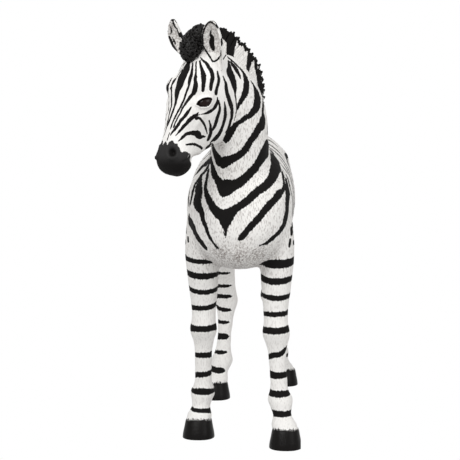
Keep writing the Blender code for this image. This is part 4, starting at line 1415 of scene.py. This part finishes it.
hindLegRings = {"heights": (300, 268, 236, 205, 176, 146, 112, 76), "waver": 2.5, "half": 5.0}
clearance = {"reach": 26.0, "gap": 8.0, "break": 12.0, "shortest": 16}  # the last in samples, 2 mm apart


def clearOf(hidden, seen):
    # guessed strokes stop short of the ones already there, and short leftovers go
    free = distanceTo(seen, hidden[:, :3], clearance["reach"]) > hidden[:, 3] + clearance["gap"]
    apart = np.linalg.norm(np.diff(hidden[:, :3], axis=0), axis=1) > clearance["break"]
    breaks = np.flatnonzero(np.diff(free.astype(int)) | apart) + 1
    for run in np.split(np.arange(len(hidden)), breaks):
        if len(run) < clearance["shortest"]:
            free[run] = False
    return hidden[free]


strokeReach = {"rearmost": -60.0, "faceWider": 1.05, "neckWider": 1.14, "neckSteepest": 4.5, "earWider": 1.15}


def inFront(samples):
    # strokes of the head, neck and breast end at the forelegs
    return samples[samples[:, 1] < strokeReach["rearmost"]]


def distanceTo(samples, points, reach=16.0):
    # signed distance to the nearest stroke: distance to its middle line less its half width
    best = np.full(len(points), reach)
    cell = reach
    sampleCells = np.floor(samples[:, :3] / cell).astype(int)
    pointCells = np.floor(points / cell).astype(int)
    order = np.lexsort(pointCells.T)
    sortedCells = pointCells[order]
    edges = np.flatnonzero(np.any(np.diff(sortedCells, axis=0), axis=1)) + 1
    bins = {}
    for i, key in enumerate(map(tuple, sampleCells)):
        bins.setdefault(key, []).append(i)
    near = [(dx, dy, dz) for dx in (-1, 0, 1) for dy in (-1, 0, 1) for dz in (-1, 0, 1)]
    for group in np.split(order, edges):
        x, y, z = pointCells[group[0]]
        found = []
        for dx, dy, dz in near:
            found += bins.get((x + dx, y + dy, z + dz), [])
        if found:
            chosen = samples[found]
            away = np.sqrt(((points[group][:, None, :] - chosen[None, :, :3]) ** 2).sum(2)) - chosen[None, :, 3]
            best[group] = np.minimum(best[group], away.min(1))
    return best


# more strokes seen in the photograph: x, y, width in its pixels
earStrokes = [
    [(212.5, 61.4, 1.6), (210, 57), (206, 51), (203.3, 46), (202.8, 42), (202.6, 36), (203.5, 31), (205, 27.6),
     (207.2, 24), (210, 22), (212.2, 22.6), (215.6, 25.3), (218.9, 29.2), (221.1, 34.2), (221.7, 40),
     (221.7, 48),
     (221.1, 54.2), (218.9, 58), (215.6, 61), (212.5, 61.4)],
    [(211, 30, 1.0), (210.6, 34, 2.0), (212.2, 38, 3.8), (211.7, 43, 4.6), (212.8, 47.6, 3.8),
     (213.9, 50.3, 1.4)],
    [(226.1, 54.8, 0.8), (223.3, 59.2, 1.0)],
    [(169.5, 20.5, 1.4), (172, 20.3, 1.8), (173.4, 21.5, 2.4), (174.4, 25), (176.2, 28, 2.2), (177.8, 31.5),
     (179.2, 36)],
    [(168.3, 22, 1.2), (167.8, 26), (167.7, 34)],
    [(169.2, 37, 2.2), (170.9, 40.3), (172.4, 44.6), (174.4, 48), (177.4, 52.5), (180, 55)],
    [(170.5, 27, 1.0), (171.5, 31, 1.6), (171, 34, 0.8)],
    [(172.5, 37, 0.8), (174, 41, 1.6), (176, 45, 0.8)],
]
muzzleLook = {
    # the dark muzzle's upper edge in the photograph's pixels
    "edge": [(140, 150), (155.2, 143), (157.5, 140), (158.8, 139), (160.3, 141), (163.5, 138), (165.5, 139.5),
             (167.3, 145), (169, 142), (172.3, 140.3), (175, 143.5), (177, 143.5), (178.5, 146.5), (180, 148.5),
             (180.5, 151.5), (182, 152.3), (185, 151), (187.5, 152.3), (190, 153.5), (190.8, 157), (192, 166),
             (196, 178)],
    "jaw": (186.0, 160.0),  # where the edge turns under the jaw
    "facing": (0.0, 0.25),
    "paintedSheen": (154, 166),  # rows of the photograph where the painted sheen on the nose ends
    "rim": (0.6, 1.1),
    "start": 150,  # from the poll
    "margin": 14,
}
lidHalf = 0.75  # half the dark line round the eye, in pixels
# height of the hair's edge, its fall from toe to heel, how ragged it is
hoofLook = {"crown": 40.0, "slope": 0.10, "jags": 0.4}
# height of the black tuft, bands above it, where the tail leaves the rump
tailLook = {"tuft": 428.0, "spacing": 25.0, "bandHalf": 4.5, "top": 560, "margin": 4}
backOfEar = {"band": (0.45, 0.62), "tip": 0.86, "reach": 1.35, "lowest": 0.08, "facing": -0.1}
# painted shade: soft grey places in the photograph, such as under the jaw and on the lower chest: x, y, radius
# in its pixels, strength
paintedShadeSpots = [
    (221, 146, 4, 0.7), (240, 257, 13, 0.8), (222, 255, 11, 0.8), (258, 256, 12, 0.8), (206, 256, 7, 0.6),
    (204, 104, 7, 0.25), (272, 254, 8, 0.6), (228, 168, 5, 0.35),
]


def muzzleDistance(points, normals):
    # distance in millimetres outside the dark muzzle, negative inside, and the share of painted sheen on its
    # upper part
    own = toHead(points)
    edge = np.array(muzzleLook["edge"])
    spots = photoOfLeft(points)
    side = np.where(spots[:, 1] < np.interp(spots[:, 0], edge[:, 0], edge[:, 1]), 1.0, -1.0)
    seen = side * pathDistance(spots, edge) * photoCamera["millimetresPerPixel"]
    under = toHead(castFrom(*photoRays([muzzleLook["jaw"]]), figureTree))[0, 1] - own[:, 1]
    facing = facingShare(points, normals, *muzzleLook["facing"])
    away = facing * seen + (1 - facing) * under
    rim = ramp(ovalDistance(spots, noseLook["nostril"]), *muzzleLook["rim"])
    paintedSheen = (1 - ramp(spots[:, 1], *muzzleLook["paintedSheen"])) * rim
    near = inHead(points, muzzleLook["margin"]) & (own[:, 1] > muzzleLook["start"])
    return np.where(near, away, farAway), paintedSheen


def hoofDistance(points):
    best = np.full(len(points), farAway)
    for name in legNames:
        x, y = hoofMiddle(name)
        near = (np.abs(points[:, 0] - x) < 60) & (np.abs(points[:, 1] - y) < 75)
        level = points[:, 2] - hoofLook["crown"] + hoofLook["slope"] * (points[:, 1] - y)
        best[near] = np.minimum(best[near], level[near])
    return best


def tailDistance(points):
    # short bands down the dock, then a black tuft
    rows = smoothRows(tailRows, 4)
    x, y, radius = (np.interp(-points[:, 2], -rows[:, 2], rows[:, k]) for k in (0, 1, 3))
    level = points[:, 2]
    onTail = np.hypot(points[:, 0] - x, points[:, 1] - y) < radius + tailLook["margin"]
    onTail &= level < tailLook["top"]
    spacing = tailLook["spacing"]
    band = np.abs((level - tailLook["tuft"]) % spacing - spacing / 2) - tailLook["bandHalf"]
    return np.where(onTail, np.minimum(band, level - tailLook["tuft"]), farAway)


def earPlaces(points, normals):
    # share of the way up either ear and which way its skin faces; zero off the ears
    share, inside = np.zeros(len(points)), np.zeros(len(points))
    for which in ("left", "right"):
        base, rise, opening, _, bow = earFrame(which)
        own = ears[which]
        reach = points - base
        level = reach @ rise / own["length"]
        bowed = np.sin(math.pi * np.clip(level, 0, 1))[:, None] * bow
        middle = reach - np.outer(level * own["length"], rise) - bowed
        near = np.linalg.norm(middle, axis=1) < own["half"] * backOfEar["reach"]
        near &= level > backOfEar["lowest"]
        share[near] = level[near]
        inside[near] = (normals @ opening)[near]
    return share, inside


paintLook = {
    "white": (0.84, 0.825, 0.80, 1),
    "black": (0.007, 0.0062, 0.006, 1),
    # the muzzle's near-black lightened, a painted sheen on its upper part
    "muzzle": (0.028, 0.027, 0.027, 1),
    "grey": (0.23, 0.195, 0.18, 1),
    "ticks": 0.46,  # darker hairs in the white
    "ragged": 2.6,  # millimetres that hairs cross a stripe's edge
    "raggedHead": 1.1,
    "whiteRough": 0.62,
    "blackRough": 0.7,
    "hoofRough": 0.32,
    "shine": 0.10,
    "hairHeight": 0.25,
    # painted shade: grey on skin facing down under the belly and on the inner faces of the ears
    "bellyFacing": (0.3, 0.9),
    "bellyLowest": 300,
    "bellyShade": 0.55,
    "cupFacing": (0.25, 0.6),
    "cupStart": (0.08, 0.2),
    "cupShade": 0.6,
    "headEdge": (-75, -35),
    "headLowest": 600,
    "trunkAlong": (-215, -120),
    "trunkHeights": (330, 420),
    "legHeights": (340, 400),
    "fewerTicks": {"legs": 0.55, "head": 0.8},
    "mane": (0.25, 0.15, 2.0),  # darker hairs, even grey tint and ragged edge
    # colour, roughness and shine
    "forelock": ((0.007, 0.0062, 0.006, 1), 0.42, 0.22),
    "eye": ((0.010, 0.004, 0.003, 1), 0.12, 0.22),
}
grainLook = {
    # waves for each millimetre across and along the hair
    "body": (0.40, 0.125),
    "head": (0.34, 0.09),
    "speckle": 0.26,
    # levels of the noise that become 0 and 1
    "grainSpan": (0.3, 0.7),
    "speckleSpan": (0.42, 0.58),
    "tickSpan": (0.46, 0.16),
    "spots": (0.85, 0.1),  # strength of the speckle in the grey of painted shade and tint, and of that grey between
}


def paintSkin(piece):
    points, normals = readPoints(piece), readNormals(piece)
    away = distanceTo(samples, points)
    muzzle, paintedSheen = muzzleDistance(points, normals)
    hoof = hoofDistance(points)
    share, inside = earPlaces(points, normals)
    band = np.maximum(backOfEar["band"][0] - share, share - backOfEar["band"][1])
    back = np.minimum(band, backOfEar["tip"] - share) * ears["left"]["length"]
    away = np.where((share > 0) & (inside < backOfEar["facing"]), back, away)
    lid = (np.abs(eyeDistance(points)) - lidHalf) * photoCamera["millimetresPerPixel"]
    crown = np.where(hoof < 10, hoof * hoofLook["jags"], hoof)
    for edge in (muzzle, crown, tailDistance(points), lid):
        away = np.minimum(away, edge)
    writeAttribute(piece, "stripe", away)
    # painted sheen: the upper muzzle, away from the nostril, takes the lighter near-black
    writeAttribute(piece, "muzzle", paintedSheen * ramp(-muzzle, -1.5, 1.5))
    writeAttribute(piece, "hoof", ramp(-hoof, -1.0, 1.0))
    # the grey layer is painted shade: soft grey at the shaded spots, under the belly and inside the ears
    grey = np.zeros(len(points))
    for (*_, radius, strength), spot in zip(paintedShadeSpots, paintedShadePlaces):
        reach = radius * photoCamera["millimetresPerPixel"]
        grey = np.maximum(grey, strength * np.exp(-((points - spot) ** 2).sum(1) / reach**2))
    # painted shade under the belly and inside the ears' cups
    belly = ramp(-normals[:, 2], *paintLook["bellyFacing"]) * (points[:, 2] > paintLook["bellyLowest"])
    cup = ramp(inside, *paintLook["cupFacing"]) * ramp(share, *paintLook["cupStart"])
    grey = np.maximum(np.maximum(grey, paintLook["bellyShade"] * belly), paintLook["cupShade"] * cup)
    writeAttribute(piece, "grey", grey)
    own = toHead(points)
    onHead = ramp(own[:, 2] + 0.35 * own[:, 1], *paintLook["headEdge"]) * (own[:, 1] > -40)
    onHead *= points[:, 2] > paintLook["headLowest"]
    writeAttribute(piece, "onHead", onHead)
    onTrunk = ramp(points[:, 1], *paintLook["trunkAlong"]) * ramp(points[:, 2], *paintLook["trunkHeights"])
    writeAttribute(piece, "onTrunk", onTrunk)
    legs = 1 - ramp(points[:, 2], *paintLook["legHeights"])
    fewer = paintLook["fewerTicks"]
    ticks = paintLook["ticks"] * (1 - fewer["legs"] * legs) * (1 - fewer["head"] * onHead)
    writeAttribute(piece, "ticks", ticks)
    writeAttribute(piece, "headPlace", own)


print("casting stripes")
faceSamples = inFront(castStrokes(faceStrokes, figureTree, strokeReach["faceWider"]))
neckSamples = castStrokes(neckStrokes, figureTree, strokeReach["neckWider"], strokeReach["neckSteepest"])
neckSamples = inFront(neckSamples)
ringSet = [ringSamples(name, rows, figureTree) for name, rings in legRings.items() for rows in rings]
angle = np.linspace(0, 2 * math.pi, 120, endpoint=False)
for z in hindLegRings["heights"]:
    level = z + hindLegRings["waver"] * np.sin(angle + z)
    half = hindLegRings["half"] + np.sin(2 * angle + z)
    ringSet.append(castRound("hindLeft", level, angle + math.pi / 2, half, figureTree))
samples = np.vstack(
    [
        faceSamples,
        mirrorHead(faceSamples, figureTree),
        inFront(castStrokes(earStrokes, figureTree, strokeReach["earWider"])),
        neckSamples,
        clearOf(mirrorNeck(neckSamples, figureTree), neckSamples),
        *ringSet,
        crestSamples,
        mirrorNeck(crestSamples, figureTree),
    ]
)
barrel = [[(y, 2.0 * turn, width) for y, turn, width in rows] for rows in barrelBands]
for strokes, wayIn in (
    (haunchStripes, fromTheSide),
    (shoulderStripes + forearmBands, fromTheSide),
    (barrel, fromTheMiddle),
):
    samples = np.vstack([samples, clearOf(castDrawn(strokes, figureTree, wayIn), samples)])
# where the painted shade spots lie on the skin
paintedShadePlaces = castFrom(*photoRays([spot[:2] for spot in paintedShadeSpots]), figureTree)
print("stripes cast at", len(samples), "places")
for piece in skinPieces:
    paintSkin(piece)


# combed hair in relief
furLook = {
    "body": (4.6, 15.0, 0.42),  # across, along, rise
    "head": (3.0, 8.0, 0.2),
    "fade": (0.5, 3.0),  # smooth beside the cuts
    "muzzle": 0.6,  # how much less on the muzzle
    "seed": 7,
}


def combFur(piece):
    points, normals = readPoints(piece), readNormals(piece)
    own = toHead(points)
    layers = piece.data.attributes
    shares = {}
    for name in ("onHead", "onTrunk", "muzzle", "hoof"):
        shares[name] = np.empty(len(points))
        layers[name].data.foreach_get("value", shares[name])
    across, along, rise = furLook["body"]
    upright = latticeNoise(points / [across, across, along], furLook["seed"])
    lying = latticeNoise(points / [across, along, across], furLook["seed"] + 1)
    body = rise * (upright + (lying - upright) * shares["onTrunk"])
    across, along, rise = furLook["head"]
    face = rise * latticeNoise(own / [across, along, across], furLook["seed"] + 2)
    push = body + (face - body) * shares["onHead"]
    push *= (1 - shares["hoof"]) * (1 - furLook["muzzle"] * shares["muzzle"])
    fade = np.minimum(np.abs(points[:, 1] - cuts["loin"]), np.abs((points - neckPlane[0]) @ neckPlane[1]))
    push *= ramp(fade, *furLook["fade"])
    push *= 1 - ramp(-eyeDistance(points), -2.0, 0.0)
    writePoints(piece, points + normals * push[:, None])


print("combing")
for piece in skinPieces:
    combFur(piece)


# paint
def setSockets(tree, node, values):
    for name, value in values.items():
        if isinstance(value, bpy.types.NodeSocket):
            tree.links.new(value, node.inputs[name])
        else:
            node.inputs[name].default_value = value


def addNode(tree, kind, sockets, **settings):
    node = tree.nodes.new("ShaderNode" + kind)
    for name, value in settings.items():
        setattr(node, name, value)
    setSockets(tree, node, sockets)
    return node


def newGroup(name, inputs, outputs):
    group = bpy.data.node_groups.new(name, "ShaderNodeTree")
    for label, kind, value in inputs:
        socket = group.interface.new_socket(label, in_out="INPUT", socket_type="NodeSocket" + kind)
        if value is not None:
            socket.default_value = value
    for label, kind in outputs:
        group.interface.new_socket(label, in_out="OUTPUT", socket_type="NodeSocket" + kind)
    return group, group.nodes.new("NodeGroupInput").outputs, group.nodes.new("NodeGroupOutput")


def finishGroup(group, result, values):
    for name, value in values.items():
        group.links.new(value, result.inputs[name])
    return group


def vectorTimes(tree, vector, factor):
    return addNode(tree, "VectorMath", {0: vector, 1: factor}, operation="MULTIPLY").outputs["Vector"]


def noiseValue(tree, place, stretch):
    # noise in millimetres, drawn out along the hair
    spot = vectorTimes(tree, place, stretch)
    sockets = {"Vector": spot, "Scale": 1.0, "Detail": 1.5, "Roughness": 0.5}
    return addNode(tree, "TexNoise", sockets).outputs["Fac"]


def blend(tree, share, low, high):
    return addNode(tree, "Mix", {"Factor": share, "A": low, "B": high}, data_type="FLOAT").outputs["Result"]


def blendColour(tree, share, low, high):
    return addNode(tree, "Mix", {"Factor": share, "A": low, "B": high}, data_type="RGBA").outputs["Result"]


def mathOf(tree, operation, *values, **settings):
    return addNode(tree, "Math", dict(enumerate(values)), operation=operation, **settings).outputs[0]


def remap(tree, value, low, high):
    return addNode(tree, "MapRange", {"Value": value, "From Min": low, "From Max": high}).outputs["Result"]


def hairGrainGroup():
    # streaks about 2 mm wide and 8 mm long that follow the coat, and finer speckle
    group, given, result = newGroup(
        "hairGrain",
        [("Place", "Vector", None), ("Head Place", "Vector", None), ("On Head", "Float", 0),
         ("On Trunk", "Float", 0)],
        [("Grain", "Float"), ("Speckle", "Float")],
    )
    place = vectorTimes(group, given["Place"], (1 / metres,) * 3)
    across, along = grainLook["body"]
    upright = noiseValue(group, place, (across, across, along))
    lying = noiseValue(group, place, (across, along, across))
    across, along = grainLook["head"]
    face = noiseValue(group, given["Head Place"], (across, along, across))
    grain = blend(group, given["On Head"], blend(group, given["On Trunk"], upright, lying), face)
    speckle = noiseValue(group, place, (grainLook["speckle"],) * 3)
    grain = remap(group, grain, *grainLook["grainSpan"])
    speckle = remap(group, speckle, *grainLook["speckleSpan"])
    return finishGroup(group, result, {"Grain": grain, "Speckle": speckle})


def stripeEdgeGroup():
    # white share: distance from the stripe's edge, made ragged by the hair
    group, given, result = newGroup(
        "stripeEdge",
        [("Distance", "Float", 0), ("Grain", "Float", 0.5), ("Ragged", "Float", 1),
         ("Softness", "Float", 0.35)],
        [("White", "Float")],
    )
    centred = mathOf(group, "SUBTRACT", given["Grain"], 0.5)
    moved = mathOf(group, "MULTIPLY_ADD", centred, given["Ragged"], given["Distance"])
    low = mathOf(group, "MULTIPLY", given["Softness"], -1.0)
    return finishGroup(group, result, {"White": remap(group, moved, low, given["Softness"])})


def coatColourGroup():
    # white with ticks of darker hair and a speckled grey that is painted shade on the skin and an even tint on
    # the mane, then the black stripes over it
    group, given, result = newGroup(
        "coatColour",
        [
            *((label, "Color", paintLook[label.lower()]) for label in ("White", "Black", "Grey")),
            ("White Share", "Float", 1.0),
            ("Grain", "Float", 0.5),
            ("Speckle", "Float", 0.5),
            ("Shade And Tint", "Float", 0.0),
            ("Ticks", "Float", 0.2),
        ],
        [("Color", "Color")],
    )
    deep = remap(group, given["Grain"], *grainLook["tickSpan"])
    tick = mathOf(group, "MULTIPLY", deep, given["Ticks"])
    spots = mathOf(group, "MULTIPLY_ADD", given["Speckle"], *grainLook["spots"])
    greyShare = mathOf(group, "MULTIPLY_ADD", spots, given["Shade And Tint"], tick, use_clamp=True)
    light = blendColour(group, greyShare, given["White"], given["Grey"])
    coat = blendColour(group, given["White Share"], given["Black"], light)
    return finishGroup(group, result, {"Color": coat})


def hairReliefGroup():
    group, given, result = newGroup(
        "hairRelief", [("Grain", "Float", 0.5), ("Height", "Float", 0.3)], [("Normal", "Vector")]
    )
    high = mathOf(group, "MULTIPLY", given["Height"], metres)
    sockets = {"Height": given["Grain"], "Distance": high, "Strength": 1.0}
    return finishGroup(group, result, {"Normal": addNode(group, "Bump", sockets).outputs["Normal"]})


groups = {
    "grain": hairGrainGroup(),
    "edge": stripeEdgeGroup(),
    "coat": coatColourGroup(),
    "relief": hairReliefGroup(),
}


def useGroup(tree, name, sockets):
    node = tree.nodes.new("ShaderNodeGroup")
    node.node_tree = groups[name]
    setSockets(tree, node, sockets)
    return node.outputs


def readLayer(tree, name, output="Fac"):
    return addNode(tree, "Attribute", {}, attribute_name=name).outputs[output]


def newMaterial(name):
    material = bpy.data.materials.new(name)
    material.use_nodes = True
    return material, material.node_tree, material.node_tree.nodes["Principled BSDF"]


def plainMaterial(name, look):
    material, tree, shader = newMaterial(name)
    colour, rough, shine = look
    setSockets(tree, shader, {"Base Color": colour, "Roughness": rough, "Specular IOR Level": shine})
    return material


def hairMaterial(name, onSkin, ticks, greyShare, ragged):
    material, tree, shader = newMaterial(name)
    onHead = readLayer(tree, "onHead") if onSkin else 0.0
    place = addNode(tree, "TexCoord", {}).outputs["Object"]
    sockets = {"Place": place, "Head Place": readLayer(tree, "headPlace", "Vector"), "On Head": onHead}
    sockets["On Trunk"] = readLayer(tree, "onTrunk") if onSkin else 0.0
    grain = useGroup(tree, "grain", sockets)
    ragged = blend(tree, onHead, *ragged) if onSkin else ragged
    sockets = {"Distance": readLayer(tree, "stripe"), "Grain": grain["Grain"], "Ragged": ragged}
    white = useGroup(tree, "edge", sockets)["White"]
    sockets = {
        "White": paintLook["white"],
        "Grey": paintLook["grey"],
        # painted sheen: the muzzle layer lightens the black on the upper muzzle
        "Black": blendColour(tree, readLayer(tree, "muzzle"), paintLook["black"], paintLook["muzzle"]),
        "White Share": white,
        "Grain": grain["Grain"],
        "Speckle": grain["Speckle"],
        # the grey layer brings painted shade onto the skin; the mane gets an even tint
        "Shade And Tint": readLayer(tree, greyShare) if onSkin else greyShare,
        "Ticks": readLayer(tree, ticks) if onSkin else ticks,
    }
    coat = useGroup(tree, "coat", sockets)
    rough = blend(tree, white, paintLook["blackRough"], paintLook["whiteRough"])
    relief = useGroup(tree, "relief", {"Grain": grain["Grain"], "Height": paintLook["hairHeight"]})
    sockets = {
        "Base Color": coat["Color"],
        "Roughness": blend(tree, readLayer(tree, "hoof"), rough, paintLook["hoofRough"]),
        "Specular IOR Level": paintLook["shine"],
        "Normal": relief["Normal"],
    }
    setSockets(tree, shader, sockets)
    return material


print("painting")
skinPaint = hairMaterial("painted_skin", True, "ticks", "grey", (paintLook["ragged"], paintLook["raggedHead"]))
manePaint = hairMaterial("painted_mane", False, *paintLook["mane"])
forelockPaint = plainMaterial("painted_forelock", paintLook["forelock"])
eyePaint = plainMaterial("painted_eye", paintLook["eye"])
hairAndEyes = [(mane, manePaint), (forelock, forelockPaint), (eyes, eyePaint)]
for piece, paint in [*((skin, skinPaint) for skin in skinPieces), *hairAndEyes]:
    piece.data.materials.clear()
    piece.data.materials.append(paint)
    piece.data.shade_smooth()
    for face in piece.data.polygons:
        if len(face.vertices) > 8:  # the flat caps of the cuts
            face.use_smooth = False


# placing in the frame
boxLow, boxHigh = (np.array(corner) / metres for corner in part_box("zebra_figure"))
corners = np.vstack([readPoints(piece) for piece in skinPieces])
shift = (boxLow + boxHigh) / 2 - (corners.min(0) + corners.max(0)) / 2
shift[2] = 0.0
print("placing the pieces in the frame")
shown = skinPieces + [mane, forelock, eyes]
for piece in shown:
    points = np.clip(readPoints(piece) + shift, boxLow, boxHigh)
    writePoints(piece, points)
    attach(piece, "root")
    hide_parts("zebra_figure")

# camera
def addCamera():
    camera = linkObject("camera", bpy.data.cameras.new("camera"))
    eye, *_, forward = cameraFrame()
    camera.data.sensor_width = photoCamera["sensor"]
    wide = photoCamera["frame"] * photoCamera["millimetresPerPixel"]
    camera.data.lens = photoCamera["sensor"] * photoCamera["distance"] / wide
    camera.location = (eye + shift) * metres
    camera.rotation_mode = "QUATERNION"
    camera.rotation_quaternion = Vector(forward).to_track_quat("-Z", "Y")
    camera.data.clip_end = 100
    bpy.context.scene.camera = camera


addCamera()

# floor and light
print("camera, floor and light")
lightLook = {
    "backdrop": 1.0,
    "fill": 0.62,  # light from all round
    "floorGlow": 0.62,
    "floorHalf": 9000,
    # place in metres and what it faces, size in metres, watts
    "key": ((-0.9, -2.3, 2.6), (0.0, 0.0, 0.5), 1.6, 52.0),
    "side": ((1.9, -1.5, 1.7), (0.0, 0.0, 0.5), 1.4, 16.0),
}
world = bpy.data.worlds.new("studio")
world.use_nodes = True
tree = world.node_tree
seen = addNode(tree, "LightPath", {}).outputs["Is Camera Ray"]
glow = blend(tree, seen, lightLook["fill"], lightLook["backdrop"])
setSockets(tree, tree.nodes["Background"], {"Strength": glow, "Color": (1, 1, 1, 1)})
bpy.context.scene.world = world
bpy.context.scene.view_settings.view_transform = "Standard"
half = lightLook["floorHalf"]
floorCorners = [(-half, -half, 0), (half, -half, 0), (half, half, 0), (-half, half, 0)]
floor = addObject("floor", floorCorners, [(0, 1, 2, 3)])
floorPaint, tree, shader = newMaterial("floor_paint")
seen = addNode(tree, "LightPath", {}).outputs["Is Camera Ray"]
glow = blend(tree, seen, lightLook["floorGlow"], lightLook["backdrop"])
sockets = {"Base Color": (0, 0, 0, 1), "Specular IOR Level": 0.0, "Emission Color": (1, 1, 1, 1)}
setSockets(tree, shader, {**sockets, "Emission Strength": glow})
floor.data.materials.append(floorPaint)
for name in ("key", "side"):
    spot, target, size, watts = lightLook[name]
    light = bpy.data.lights.new(name, "AREA")
    light.size = size
    light.energy = watts
    lamp = linkObject(name, light)
    lamp.location = spot
    lamp.rotation_mode = "QUATERNION"
    lamp.rotation_quaternion = (Vector(target) - Vector(spot)).to_track_quat("-Z", "Y")
